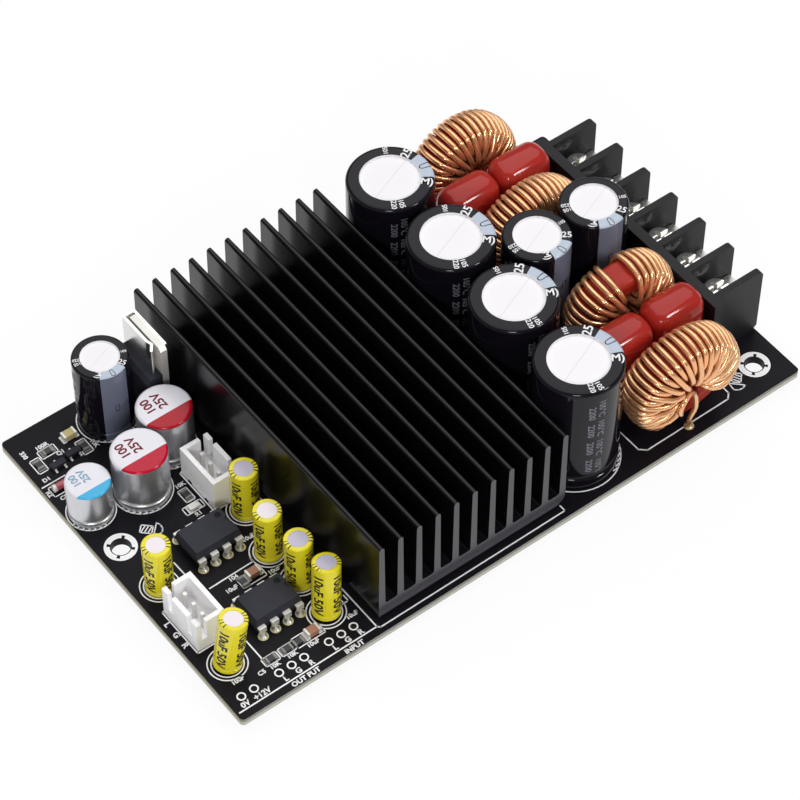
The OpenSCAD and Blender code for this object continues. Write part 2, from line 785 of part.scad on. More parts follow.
module bulk_capacitor_1() { bulk_capacitor(0); }
module bulk_capacitor_2() { bulk_capacitor(1); }
module bulk_capacitor_3() { bulk_capacitor(2); }
module bulk_capacitor_4() { bulk_capacitor(3); }
module medium_capacitor_1() { medium_capacitor(0); }
module medium_capacitor_2() { medium_capacitor(1); }
module signal_capacitor_1() { signal_capacitor(0); }
module signal_capacitor_2() { signal_capacitor(1); }
module signal_capacitor_3() { signal_capacitor(2); }
module signal_capacitor_4() { signal_capacitor(3); }
module signal_capacitor_5() { signal_capacitor(4); }
module signal_capacitor_6() { signal_capacitor(5); }

module slim_capacitor() {
    color("#201e24")
        sleeved_capacitor(slim_place, slim_d, slim_h, medium_lead_pitch, lead_d);
}

module polymer_capacitor_rear() {
    color("#c6c7c9")
        polymer_capacitor(polymer_rear_place, polymer_d, polymer_h, medium_lead_pitch);
}

module polymer_capacitor_front() {
    color("#c6c7c9")
        polymer_capacitor(polymer_front_place, polymer_d, polymer_h, medium_lead_pitch);
}

module polymer_capacitor_small() {
    color("#c6c7c9")
        polymer_capacitor(polymer_small_place, polymer_small_d, polymer_small_h, small_lead_pitch);
}

// Toroids
module toroid_core(i) {
    color("#9c2a1e")
        on_board()
            translate(toroid_mid(i))
                rotate([0, 0, toroid_yaw(i)])
                    rotate([toroid_tilt(i), 0, 0])
                        rotate([90, 0, 0])
                            rotate_extrude()
                                translate([(core_od + core_id) / 4, 0])
                                    rounded((core_od - core_id) / 2, core_w, core_edge_r);
}

module toroid_winding(i) {
    color("#c98a45")
        on_board()
            tube(wound_path(i), wire_r);
}

module toroid_core_1() { toroid_core(0); }
module toroid_core_2() { toroid_core(1); }
module toroid_core_3() { toroid_core(2); }
module toroid_core_4() { toroid_core(3); }
module toroid_winding_1() { toroid_winding(0); }
module toroid_winding_2() { toroid_winding(1); }
module toroid_winding_3() { toroid_winding(2); }
module toroid_winding_4() { toroid_winding(3); }

// Dipped film capacitors
module film_capacitor(i) {
    side_r = min(3.5, film_t / 2 - touch);
    end_r = min(1.6, film_t / 2 - touch);
    color("#a8322c")
        on_board(film_places[i]) {
            translate([0, 0, film_lift + film_h / 2])
                intersection() {
                    rotate([90, 0, 90])
                        linear_extrude(film_l, center = true)
                            rounded(film_t, film_h, side_r);
                    rotate([90, 0, 0])
                        linear_extrude(film_t, center = true)
                            rounded(film_l, film_h, end_r);
                    linear_extrude(film_h, center = true)
                        rounded(film_l, film_t, end_r);
                }
            lead_pair(film_lead_pitch, lead_d, film_lift + 2);
        }
}

module film_capacitor_1() { film_capacitor(0); }
module film_capacitor_2() { film_capacitor(1); }
module film_capacitor_3() { film_capacitor(2); }
module film_capacitor_4() { film_capacitor(3); }

// Screw terminal
module divider_profile() {
    tip_r = 1.2;
    foot_cut = 1;
    difference() {
        union() {
            square([terminal_depth, terminal_h - tip_r]);
            square([terminal_depth - tip_r, terminal_h]);
            translate([terminal_depth - tip_r, terminal_h - tip_r])
                circle(tip_r);
        }
        translate([terminal_depth, 0])
            rotate(45)
                square(foot_cut * sqrt(2), center = true);
    }
}

module terminal_housing() {
    front_inset = 0.4;
    color("#242326")
        on_board([terminal_x, -terminal_front_offset])
            difference() {
                union() {
                    translate([0, -terminal_l / 2, 0])
                        cube([terminal_back_t, terminal_l, terminal_h]);
                    translate([0, divider_y[ways] + terminal_front_offset, 0])
                        cube([terminal_depth - front_inset, ways * way_pitch, terminal_floor_h]);
                    for (y = divider_y)
                        translate([0, y + terminal_front_offset + divider_t / 2, 0])
                            rotate([90, 0, 0])
                                linear_extrude(divider_t)
                                    divider_profile();
                }
                for (y = way_y)
                    translate([0, y + terminal_front_offset, 0]) {
                        translate([screw_x - terminal_x, 0, terminal_floor_h - screw_below])
                            cylinder(d = screw_d + 4 * screw_play, h = screw_below + eps);
                        translate([contact_pin_x - terminal_x, 0, 0])
                            block([contact_pin.x + 2 * lead_play, contact_pin.y + 2 * lead_play, big], -eps);
                    }
            }
}

module terminal_contacts() {
    plate_l = terminal_depth - terminal_back_t - 0.8;
    color("#d6d2c4")
        for (y = way_y)
            on_board([terminal_x + terminal_back_t, y])
                translate([touch, 0, terminal_floor_h])
                    difference() {
                        union() {
                            translate([0, -contact_w / 2, 0])
                                cube([plate_l, contact_w, contact_t]);
                            translate([0, -contact_w / 3, 0])
                                cube([contact_t, contact_w * 2 / 3, contact_tab_h]);
                            translate([contact_pin_x - terminal_x - terminal_back_t - touch, 0, 0])
                                block([contact_pin.x, contact_pin.y, terminal_floor_h + board_t + eps],
                                    -terminal_floor_h - board_t);
                        }
                        translate([screw_x - terminal_x - terminal_back_t - touch, 0, -eps])
                            cylinder(d = screw_d + 2 * screw_play, h = contact_t + 2 * eps);
                    }
}

module terminal_clamp(i) {
    corner = 0.7;
    color("#d9d7d0")
        on_board([screw_x, way_y[i]])
            translate([0, 0, clamp_z])
                linear_extrude(clamp_t)
                    difference() {
                        rounded(clamp_side, clamp_side, corner);
                        circle(d = screw_d + 2 * screw_play);
                    }
}

module terminal_screw(i) {
    dome_r = 0.7;
    slot_w = 0.8;
    slot_depth = 0.55 * screw_head_h;
    grip = head_z - terminal_floor_h + screw_below - 0.6;
    color("#dcdcd8")
        on_board([screw_x, way_y[i]])
            translate([0, 0, head_z])
                difference() {
                    union() {
                        rotate_extrude() {
                            square([screw_head_d / 2, screw_head_h - dome_r]);
                            square([screw_head_d / 2 - dome_r, screw_head_h]);
                            translate([screw_head_d / 2 - dome_r, screw_head_h - dome_r])
                                circle(dome_r);
                        }
                        translate([0, 0, -grip])
                            cylinder(d = screw_d, h = grip + eps);
                    }
                    block([big, slot_w, big], screw_head_h - slot_depth);
                    block([slot_w, 0.55 * screw_head_d, big], screw_head_h - slot_depth);
                }
}

module terminal_clamp_1() { terminal_clamp(0); }
module terminal_clamp_2() { terminal_clamp(1); }
module terminal_clamp_3() { terminal_clamp(2); }
module terminal_clamp_4() { terminal_clamp(3); }
module terminal_clamp_5() { terminal_clamp(4); }
module terminal_clamp_6() { terminal_clamp(5); }
module terminal_screw_1() { terminal_screw(0); }
module terminal_screw_2() { terminal_screw(1); }
module terminal_screw_3() { terminal_screw(2); }
module terminal_screw_4() { terminal_screw(3); }
module terminal_screw_5() { terminal_screw(4); }
module terminal_screw_6() { terminal_screw(5); }

// Plug connectors: an open shroud whose keyed wall, on +X before it is turned, has two slots
module plug_shroud(p, turn) {
    slot_w = 1.1;
    slot_depth = plug_h - plug_floor_t - 0.6;
    notch = [0.6, 1.2, 0.6];
    color("#e9e8e6")
        on_board(p)
            rotate(turn)
                difference() {
                    block([plug_w, plug_l, plug_h]);
                    block([plug_w - 2 * plug_wall, plug_l - 2 * plug_wall, big], plug_floor_t);
                    for (s = [-1, 1]) {
                        translate([plug_w / 2 - plug_wall / 2, s * (plug_l / 2 - 2.2), 0])
                            block([2 * plug_wall, slot_w, big], plug_h - slot_depth);
                        translate([plug_w / 2 - plug_wall - slot_w / 2, s * plug_l / 2, 0])
                            block([slot_w, 3 * plug_wall, big], plug_h - slot_depth);
                        translate([-plug_w / 2, s * plug_l / 4, 0])
                            block([notch.x * 2, notch.y, notch.z + eps], -eps);
                    }
                    for (q = plug_points([0, 0]))
                        translate([q.x, q.y, 0])
                            block([plug_pin_t, plug_pin_t, big], -eps);
                }
}

module signal_plug_rear() { plug_shroud(plug_places[0], 0); }
module signal_plug_front() { plug_shroud(plug_places[1], 180); }

module plug_pin_posts() {
    color("#cfc9b4")
        for (p = plug_places, q = plug_points(p))
            on_board(q)
                block([plug_pin_t, plug_pin_t, board_t + plug_pin_rise], -board_t);
}

// Eight-lead signal chips
module dip_section(w) {
    polygon([
        [-w / 2 + dip_draft, 0],
        [w / 2 - dip_draft, 0],
        [w / 2, (dip_h - dip_band) / 2],
        [w / 2, (dip_h + dip_band) / 2],
        [w / 2 - dip_draft, dip_h],
        [-w / 2 + dip_draft, dip_h],
        [-w / 2, (dip_h + dip_band) / 2],
        [-w / 2, (dip_h - dip_band) / 2]
    ]);
}

module dip_body(p) {
    notch_d = 1.6;
    notch_depth = 0.5;
    color("#34333a")
        on_board(p)
            translate([0, 0, dip_lift])
                difference() {
                    intersection() {
                        rotate([90, 0, 90])
                            linear_extrude(dip_l, center = true)
                                dip_section(dip_w);
                        rotate([90, 0, 0])
                            linear_extrude(dip_w, center = true)
                                dip_section(dip_l);
                    }
                    translate([dip_l / 2 - dip_draft / 2, 0, dip_h - notch_depth])
                        cylinder(d = notch_d, h = 1);
                }
}

module signal_chip_rear() { dip_body(dip_places[0]); }
module signal_chip_front() { dip_body(dip_places[1]); }

module dip_lead() {
    knee_z = dip_mid_z - dip_lead_t / 2;
    narrow_z = dip_mid_z / 2;
    rotate([90, 0, 90]) {
        translate([0, 0, -dip_lead_w / 2])
            linear_extrude(dip_lead_w) {
                translate([dip_w / 2, knee_z])
                    square([(dip_row - dip_w + dip_lead_t) / 2, dip_lead_t]);
                translate([(dip_row - dip_lead_t) / 2, narrow_z])
                    square([dip_lead_t, knee_z + dip_lead_t - narrow_z]);
            }
        translate([0, 0, -dip_tip_w / 2])
            linear_extrude(dip_tip_w)
                translate([(dip_row - dip_lead_t) / 2, -board_t])
                    square([dip_lead_t, board_t + narrow_z + eps]);
    }
}

module signal_chip_leads() {
    color("#cdccc6")
        for (p = dip_places, i = [0:dip_leads - 1], s = [0, 1])
            on_board([p.x + (i - (dip_leads - 1) / 2) * dip_pitch, p.y])
                mirror([0, s, 0])
                    dip_lead();
}

// Voltage regulator, its leaded tab and the spring clip over the tab
module regulator_body() {
    top_cut = 0.8;
    color("#2a292c")
        on_board([reg_back_x, reg_y])
            translate([0, reg_w / 2, reg_lift])
                rotate([90, 0, 0])
                    linear_extrude(reg_w)
                        polygon([
                            [-reg_tab_t, 0],
                            [-reg_depth + top_cut / 2, 0],
                            [-reg_depth, top_cut],
                            [-reg_depth, reg_body_h - top_cut],
                            [-reg_depth + top_cut, reg_body_h],
                            [-reg_tab_t, reg_body_h]
                        ]);
}

module regulator_tab() {
    hole_d = 3.6;
    corner = 1;
    color("#d8d8d6")
        on_board([reg_back_x, reg_y]) {
            difference() {
                translate([-reg_tab_t, 0, reg_lift])
                    rotate([90, 0, 90])
                        linear_extrude(reg_tab_t)
                            difference() {
                                translate([-reg_w / 2, 0])
                                    square([reg_w, reg_body_h + reg_tab_h]);
                                for (s = [-1, 1])
                                    translate([s * reg_w / 2, reg_body_h + reg_tab_h])
                                        rotate(45)
                                            square(corner, center = true);
                            }
                translate([0, 0, reg_top_z - reg_tab_h / 2])
                    rotate([0, 90, 0])
                        cylinder(d = hole_d, h = big, center = true);
            }
            for (i = [-1:1])
                translate([-reg_depth / 2, i * reg_lead_pitch, 0])
                    block([reg_lead.x, reg_lead.y, board_t + reg_lift], -board_t);
            translate([-reg_depth / 2, 0, 0])
                translate([-reg_lead.x / 2, -reg_w / 2 + 1, reg_lift - 0.4])
                    cube([reg_depth / 2 + reg_lead.x / 2, reg_w - 2, 0.4]);
        }
}

module strip(p, q, t) {
    v = q - p;
    translate(p)
        rotate(atan2(v.y, v.x))
            translate([0, -t / 2])
                square([norm(v), t]);
    for (e = [p, q])
        translate(e)
            circle(d = t);
}

module regulator_clip() {
    clip_h = 7;
    below_top = 0.2;
    far_y = reg_w / 2 + clip_t / 2 + touch;
    front_x = -reg_tab_t - clip_t / 2 - touch;
    back_x = clip_t / 2 + touch;
    bow = 0.3;
    path = [
        [back_x, -reg_w / 2 + 1],
        [back_x, far_y],
        [front_x - bow, far_y],
        [front_x - bow, -reg_w / 2 + 3.2],
        [front_x, -reg_w / 2 + 2.2],
        [front_x - 0.9, -reg_w / 2 + 1]
    ];
    color("#c9c9c8")
        on_board([reg_back_x, reg_y])
            translate([0, 0, reg_top_z - min(clip_h, reg_tab_h - touch) - below_top + 0.2])
                linear_extrude(min(clip_h, reg_tab_h - touch) - below_top)
                    for (i = [0:len(path) - 2])
                        strip(path[i], path[i + 1], clip_t);
}

// Small parts soldered to the board's face
module chip_part(p, size, turn = 0) {
    cap = 0.45;
    rise = 0.03;
    on_board(p)
        rotate(turn) {
            block([size.x - 2 * cap, size.y - 2 * rise, size.z - rise]);
            for (s = [-1, 1])
                translate([s * (size.x / 2 - cap / 2), 0, 0])
                    block([cap + eps, size.y, size.z]);
        }
}

module chip_resistors() {
    size = [2, 1.25, 0.5];
    color("#39373b") {
        for (x = [-5.5, -2.2, 0.1])
            chip_part([dip_x + x, front_y + 7], size);
        chip_part([dip_x, dip_gap_y - 0.15], size, 90);
        chip_part([dip_x + 2.9, dip_rear_y + 10.8], size, 90);
        chip_part([slim_left_x - 1.6, slim_place.y - 2.8], size, 90);
    }
}

module ceramic_capacitors() {
    size = [2.6, 1.6, 1.3];
    color("#9a6b52") {
        chip_part([dip_x + 2.2, dip_gap_y + 0.15], size);
        chip_part([dip_x + 3, front_y + 7.1], size);
        chip_part([slim_left_x - 2.5, slim_place.y + 0.6], size);
    }
}

module small_transistors() {
    body = [2.9, 1.3, 0.95];
    leg = [0.4, 0.7, 0.15];
    color("#2c2b2e")
        for (p = [[slim_left_x - 4, slim_place.y - 3], [slim_left_x - 7.5, slim_place.y - 3.6]])
            on_board(p) {
                block([body.x, body.y, body.z]);
                for (q = [[-0.95, -1], [0.95, -1], [0, 1]])
                    translate([q.x, q.y * (body.y + leg.y) / 2 - q.y * eps, 0])
                        block(leg);
            }
}

module signal_diode() {
    d = 1.5;
    l = 3.4;
    edge_space = 3.2;
    slim_space = 2.8;
    color("#b4584e")
        on_board([left_x + edge_space, slim_place.y - slim_d / 2 - slim_space])
            translate([-l / 2, 0, d / 2])
                rotate([0, 90, 0])
                    cylinder(d = d, h = l);
}

circuit_board();
solder_joints();
heatsink();
heatsink_screws();
amplifier_chip();
bulk_capacitor_1();
bulk_capacitor_2();
bulk_capacitor_3();
bulk_capacitor_4();
medium_capacitor_1();
medium_capacitor_2();
slim_capacitor();
polymer_capacitor_rear();
polymer_capacitor_front();
polymer_capacitor_small();
signal_capacitor_1();
signal_capacitor_2();
signal_capacitor_3();
signal_capacitor_4();
signal_capacitor_5();
signal_capacitor_6();
toroid_core_1();
toroid_core_2();
toroid_core_3();
toroid_core_4();
toroid_winding_1();
toroid_winding_2();
toroid_winding_3();
toroid_winding_4();
film_capacitor_1();
film_capacitor_2();
film_capacitor_3();
film_capacitor_4();
terminal_housing();
terminal_contacts();
terminal_clamp_1();
terminal_clamp_2();
terminal_clamp_3();
terminal_clamp_4();
terminal_clamp_5();
terminal_clamp_6();
terminal_screw_1();
terminal_screw_2();
terminal_screw_3();
terminal_screw_4();
terminal_screw_5();
terminal_screw_6();
signal_plug_rear();
signal_plug_front();
plug_pin_posts();
signal_chip_rear();
signal_chip_front();
signal_chip_leads();
regulator_body();
regulator_tab();
regulator_clip();
chip_resistors();
ceramic_capacitors();
small_transistors();
signal_diode();
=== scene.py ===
"""Looks of an audio amplifier board: finishes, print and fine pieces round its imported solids."""

import logging
import math
from dataclasses import dataclass, field, replace
from enum import Enum
from typing import Callable, Sequence

import bpy
from mathutils import Matrix, Vector


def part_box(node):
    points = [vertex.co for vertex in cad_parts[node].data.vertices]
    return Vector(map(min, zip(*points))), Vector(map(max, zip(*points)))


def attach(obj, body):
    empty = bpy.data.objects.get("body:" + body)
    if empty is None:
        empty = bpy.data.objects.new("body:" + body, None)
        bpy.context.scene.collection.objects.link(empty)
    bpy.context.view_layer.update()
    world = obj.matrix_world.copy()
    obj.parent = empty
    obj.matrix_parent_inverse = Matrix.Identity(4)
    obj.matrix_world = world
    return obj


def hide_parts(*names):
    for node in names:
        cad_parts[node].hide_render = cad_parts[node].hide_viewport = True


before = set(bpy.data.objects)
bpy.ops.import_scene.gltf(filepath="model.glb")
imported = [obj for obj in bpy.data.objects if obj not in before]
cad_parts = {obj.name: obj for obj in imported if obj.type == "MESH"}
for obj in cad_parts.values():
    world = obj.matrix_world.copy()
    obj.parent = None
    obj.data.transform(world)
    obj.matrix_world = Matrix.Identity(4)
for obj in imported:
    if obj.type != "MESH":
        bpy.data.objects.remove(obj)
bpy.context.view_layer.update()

LOG = logging.getLogger("amplifier_board")
MM = 0.001
ROOT_BODY = "board"
# Font size that gives letters of height 1
LETTER_SIZE = 1.4
# Sides of a printed ring, and half of a gap in it in degrees
RING_STEPS = 48
GAP_HALF = 8.0
# Lift and thickness of the print on a part, and the distance from which side print is wrapped on
PRINT_LIFT = 0.01 * MM
PRINT_DEPTH = 0.02 * MM
WRAP_START = 0.4 * MM
# How far a face or an edge has to look along an axis to count as square to it
SQUARE_ON = 0.9
# Roughness of a clear coat, and how far red, green and blue light scatter inside a finish
COAT_ROUGH = 0.06
GLOW_REACH = (0.002, 0.002, 0.0018)
# Strength of every bump, and share of the grain's scale at which a colour drifts
BUMP_STRENGTH = 0.6
DRIFT_SCALE = 0.08

Socket = bpy.types.NodeSocket
Value = float | Socket
Piece = bpy.types.Object


class Facing(Enum):
    """Way that a line of lettering reads on the board, in degrees."""

    FRONT = 0.0
    RIGHT = 90.0
    LEFT = -90.0


class Bold(Enum):
    """How far the strokes of each kind of print grow, as a share of the letters' size."""

    BOARD = 0.06
    RIM = 0.03
    SIDE = 0.04
    TOP = 0.035


# Colours and node wiring


def linear(code: str) -> tuple[float, float, float, float]:
    """Turn a hex colour into linear red, green, blue and alpha.

    Args:
        code: Colour such as "#a0b0c0", as seen on a screen.

    Returns:
        The linear colour that Blender's sockets take.
    """
    parts = [int(code[i:i + 2], 16) / 255 for i in (1, 3, 5)]
    low, knee, slope = 0.04045, 0.055, 12.92
    values = [p / slope if p <= low else ((p + knee) / (1 + knee)) ** 2.4 for p in parts]
    return (values[0], values[1], values[2], 1.0)


class Wiring:
    """Short hand for building one node tree."""

    def __init__(self, tree: bpy.types.NodeTree) -> None:
        """Keep the tree that the nodes go into."""
        self.tree = tree

    def add(self, kind: str, **settings: object) -> bpy.types.Node:
        """Add a node and set its properties.

        Args:
            kind: Blender's type name of the node.
            settings: Properties of the node by name.

        Returns:
            The new node.
        """
        node = self.tree.nodes.new(kind)
        for name, value in settings.items():
            setattr(node, name, value)
        return node

    def feed(self, target: Socket, value: object) -> None:
        """Link a socket to a target, or set the target's constant."""
        if isinstance(value, bpy.types.NodeSocket):
            self.tree.links.new(value, target)
        else:
            target.default_value = value

    def math(self, kind: str, a: Value, b: Value = 0.0, c: Value = 0.0) -> Socket:
        """Work out one number from up to three.

        Args:
            kind: Operation of Blender's Math node.
            a: First value.
            b: Second value.
            c: Third value.

        Returns:
            The socket that holds the result.
        """
        node = self.add("ShaderNodeMath", operation=kind)
        for target, value in zip(node.inputs, (a, b, c)):
            self.feed(target, value)
        return node.outputs[0]

    def below(self, value: Value, edge: Value) -> Socket:
        """Mask of 1 where value is under edge."""
        return self.math("LESS_THAN", value, edge)

    def above(self, value: Value, edge: Value) -> Socket:
        """Mask of 1 where value is over edge."""
        return self.math("GREATER_THAN", value, edge)

    def both(self, a: Value, b: Value) -> Socket:
        """Mask of 1 where both masks are 1."""
        return self.math("MULTIPLY", a, b)

    def either(self, a: Value, b: Value) -> Socket:
        """Mask of 1 where either mask is 1."""
        return self.math("MAXIMUM", a, b)

    def mix(self, share: Value, a: object, b: object) -> Socket:
        """Mix two colours.

        Args:
            share: Share of the second colour.
            a: First colour or socket.
            b: Second colour or socket.

        Returns:
            The socket that holds the mixed colour.
        """
        node = self.add("ShaderNodeMix", data_type="RGBA", clamp_factor=True)
        self.feed(node.inputs[0], share)
        self.feed(node.inputs[6], a)
        self.feed(node.inputs[7], b)
        return node.outputs[2]

    def blend(self, share: Value, a: Value, b: Value) -> Socket:
        """Mix two numbers by a share."""
        node = self.add("ShaderNodeMix", data_type="FLOAT", clamp_factor=True)
        self.feed(node.inputs[0], share)
        self.feed(node.inputs[2], a)
        self.feed(node.inputs[3], b)
        return node.outputs[0]

    def place(self, origin: Vector, turn: Sequence[float] = (0, 0, 0)) -> Socket:
        """Object coordinates counted from a point, and turned.

        Args:
            origin: Point in the row frame that becomes zero.
            turn: Angles in radians of the piece's own frame.

        Returns:
            The socket that holds the coordinates.
        """
        coords = self.add("ShaderNodeTexCoord")
        mapping = self.add("ShaderNodeMapping", vector_type="TEXTURE")
        self.feed(mapping.inputs["Vector"], coords.outputs["Object"])
        mapping.inputs["Location"].default_value = origin
        mapping.inputs["Rotation"].default_value = turn
        return mapping.outputs[0]

    def facing(self) -> list[Socket]:
        """How far a face looks along X, Y and Z, each from 0 to 1."""
        normal = self.add("ShaderNodeNewGeometry").outputs["Normal"]
        return [self.math("ABSOLUTE", part) for part in self.split(normal)]

    def split(self, vector: Socket) -> tuple[Socket, Socket, Socket]:
        """The three numbers of a vector."""
        node = self.add("ShaderNodeSeparateXYZ")
        self.feed(node.inputs[0], vector)
        return node.outputs[0], node.outputs[1], node.outputs[2]


def new_group(name: str, inputs: dict[str, str], outputs: dict[str, str]) -> tuple[Wiring, dict, dict]:
    """Start a shader node group.

    Args:
        name: Name of the group.
        inputs: Socket type of each input by name.
        outputs: Socket type of each output by name.

    Returns:
        The wiring of the group, its input sockets and its output sockets.
    """
    tree = bpy.data.node_groups.new(name, "ShaderNodeTree")
    for label, kind in inputs.items():
        tree.interface.new_socket(label, in_out="INPUT", socket_type=kind)
    for label, kind in outputs.items():
        tree.interface.new_socket(label, in_out="OUTPUT", socket_type=kind)
    wiring = Wiring(tree)
    start = wiring.add("NodeGroupInput")
    end = wiring.add("NodeGroupOutput")
    return wiring, {k: start.outputs[k] for k in inputs}, {k: end.inputs[k] for k in outputs}


FLOAT, VECTOR = "NodeSocketFloat", "NodeSocketVector"


def grain_group() -> bpy.types.NodeTree:
    """Fine grain and slow drift, for roughness, colour and bump.

    Returns:
        The node group.
    """
    wiring, given, out = new_group("fine_grain", {"Scale": FLOAT}, {"Grain": FLOAT, "Drift": FLOAT})
    coords = wiring.add("ShaderNodeTexCoord").outputs["Object"]
    fine = wiring.add("ShaderNodeTexNoise")
    fine.inputs["Detail"].default_value = 3
    wiring.feed(fine.inputs["Vector"], coords)
    wiring.feed(fine.inputs["Scale"], given["Scale"])
    slow = wiring.add("ShaderNodeTexNoise")
    wiring.feed(slow.inputs["Vector"], coords)
    wiring.feed(slow.inputs["Scale"], wiring.math("MULTIPLY", given["Scale"], DRIFT_SCALE))
    wiring.feed(out["Grain"], fine.outputs[0])
    wiring.feed(out["Drift"], slow.outputs[0])
    return wiring.tree


def round_group() -> bpy.types.NodeTree:
    """Cylinder coordinates of a can: radius, angle from -pi to pi, and height.

    Returns:
        The node group.
    """
    wiring, given, out = new_group(
        "can_coordinates", {"Vector": VECTOR}, {"Radius": FLOAT, "Angle": FLOAT, "Height": FLOAT})
    x, y, z = wiring.split(given["Vector"])
    squares = wiring.math("ADD", wiring.math("MULTIPLY", x, x), wiring.math("MULTIPLY", y, y))
    wiring.feed(out["Radius"], wiring.math("SQRT", squares))
    wiring.feed(out["Angle"], wiring.math("ARCTAN2", y, x))
    wiring.feed(out["Height"], z)
    return wiring.tree


def minus_group() -> bpy.types.NodeTree:
    """Outline of a rounded minus sign on the two coordinates of a printed stripe.

    Returns:
        The node group.
    """
    wiring, given, out = new_group(
        "minus_outline",
        {"U": FLOAT, "V": FLOAT, "Half Width": FLOAT, "Half Length": FLOAT, "Line": FLOAT},
        {"Mask": FLOAT})
    side = wiring.math("ABSOLUTE", given["U"])
    spare = wiring.math("SUBTRACT", given["Half Length"], given["Half Width"])
    end = wiring.math("MAXIMUM", wiring.math("SUBTRACT", wiring.math("ABSOLUTE", given["V"]), spare), 0.0)
    reach = wiring.math(
        "SQRT", wiring.math("ADD", wiring.math("MULTIPLY", side, side), wiring.math("MULTIPLY", end, end)))
    edge = wiring.math("ABSOLUTE", wiring.math("SUBTRACT", reach, given["Half Width"]))
    wiring.feed(out["Mask"], wiring.below(edge, given["Line"]))
    return wiring.tree


GRAIN = grain_group()
ROUND = round_group()
MINUS = minus_group()


@dataclass(frozen=True)
class Finish:
    """One plain finish: a colour with grain, drift and a little bump.

    Attributes:
        name: Name of the material.
        colour: Main colour as hex.
        shade: Second colour that drifts in.
        rough: Roughness of the smoothest and the roughest places.
        metal: Share of metal.
        coat: Weight of a clear coat.
        grain: Grains per metre.
        bump: Height of the grain in millimetres.
        ends: Colour of faces that look along Y, or nothing; on the heatsink a lighter grey that is painted
            light on its fin ends.
        glow: Weight of light that scatters inside.
        spec: Level of the plain reflection, where 0.5 is usual.
    """

    name: str
    colour: str
    shade: str
    rough: tuple[float, float] = (0.35, 0.5)
    metal: float = 0.0
    coat: float = 0.0
    grain: float = 4000.0
    bump: float = 0.004
    ends: str = ""
    glow: float = 0.0
    spec: float = 0.5

    def material(self) -> bpy.types.Material:
        """Build the finish as a procedural material.

        Returns:
            The material.
        """
        label = f"{self.name}_finish"
        made = bpy.data.materials.get(label)
        if made:
            return made
        made, wiring, shader = start_material(label)
        grain = add_grain(wiring, self.grain)
        colour = wiring.mix(grain.outputs["Drift"], linear(self.colour), linear(self.shade))
        # Faces that look along Y take the ends colour, which is painted light where a finish sets it.
        if self.ends:
            along = wiring.facing()[1]
            colour = wiring.mix(wiring.above(along, SQUARE_ON), colour, linear(self.ends))
        wiring.feed(shader.inputs["Base Color"], colour)
        wiring.feed(shader.inputs["Roughness"], wiring.blend(grain.outputs["Grain"], *self.rough))
        shader.inputs["Metallic"].default_value = self.metal
        shader.inputs["Coat Weight"].default_value = self.coat
        shader.inputs["Coat Roughness"].default_value = COAT_ROUGH
        shader.inputs["Specular IOR Level"].default_value = self.spec
        if self.glow:
            shader.inputs["Subsurface Weight"].default_value = self.glow
            shader.inputs["Subsurface Radius"].default_value = GLOW_REACH
        add_bump(wiring, shader, grain.outputs["Grain"], self.bump)
        return made


def start_material(name: str) -> tuple[bpy.types.Material, Wiring, bpy.types.Node]:
    """Make an empty material with one shader.

    Args:
        name: Name of the material.

    Returns:
        The material, its wiring and its Principled BSDF.
    """
    made = bpy.data.materials.new(name)
    made.use_nodes = True
    made.node_tree.nodes.clear()
    wiring = Wiring(made.node_tree)
    shader = wiring.add("ShaderNodeBsdfPrincipled")
    output = wiring.add("ShaderNodeOutputMaterial")
    wiring.feed(output.inputs["Surface"], shader.outputs[0])
    return made, wiring, shader


def add_grain(wiring: Wiring, scale: float) -> bpy.types.Node:
    """Place the grain group in a material.

    Args:
        wiring: Wiring of the material.
        scale: Grains per metre.

    Returns:
        The group's node.
    """
    node = wiring.add("ShaderNodeGroup", node_tree=GRAIN)
    node.inputs["Scale"].default_value = scale
    return node


def add_bump(wiring: Wiring, shader: bpy.types.Node, height: Socket, depth_mm: float) -> None:
    """Feed a height into the shader's normal.

    Args:
        wiring: Wiring of the material.
        shader: Shader that takes the normal.
        height: Height from 0 to 1.
        depth_mm: Depth of the bump in millimetres.
    """
    bump = wiring.add("ShaderNodeBump")
    bump.inputs["Distance"].default_value = depth_mm * MM
    bump.inputs["Strength"].default_value = BUMP_STRENGTH
    wiring.feed(bump.inputs["Height"], height)
    wiring.feed(shader.inputs["Normal"], bump.outputs[0])


# The fin ends, which look along Y, get a lighter grey: painted light standing for the lamps' light falling
# on them.
ANODISED = Finish("black_anodised", "#08070a", "#0c0b0e", (0.18, 0.26), grain=5000, bump=0.001,
                  ends="#3f3d43", spec=0.3)
TIN = Finish("tin", "#e4e2de", "#cfcdc7", (0.26, 0.4), metal=0.4, grain=3000)
DULL_TIN = Finish("dull_tin", "#8b8a87", "#767572", (0.4, 0.55), metal=0.5, grain=3000)
SOLDER = Finish("solder", "#d3d1ca", "#b3b0a7", (0.24, 0.4), metal=0.6, grain=2600, bump=0.02)
GILT = Finish("gilt_pad", "#ded7ae", "#cabf8c", (0.3, 0.45), metal=0.35, grain=2600, bump=0.01)
NICKEL = Finish("nickel", "#c4c3c0", "#b3b2ae", (0.22, 0.32), metal=0.9, grain=3000)
BRIGHT_NICKEL = Finish("bright_nickel", "#f6f5f2", "#e9e8e4", (0.07, 0.12), metal=1.0, grain=3000)
ZINC = Finish("zinc_screw", "#b9b9b2", "#a3a29a", (0.25, 0.4), metal=1.0)
SPRING = Finish("spring_steel", "#e4e4e2", "#d8d8d6", (0.18, 0.24), metal=0.95, grain=900, bump=0.001)
CHIP = Finish("chip_plastic", "#292a32", "#31323a", (0.5, 0.64), grain=7000, bump=0.008, spec=0.2)
DENT = Finish("chip_dent", "#141419", "#1a1a1f", (0.4, 0.5), grain=7000, spec=0.1)
TERMINAL = Finish("terminal_plastic", "#19181b", "#201f22", (0.45, 0.55), grain=6000, bump=0.006,
                  spec=0.26)
NYLON = Finish("white_nylon", "#fcfbfe", "#f5f4f7", (0.35, 0.5), grain=3000, glow=0.6)
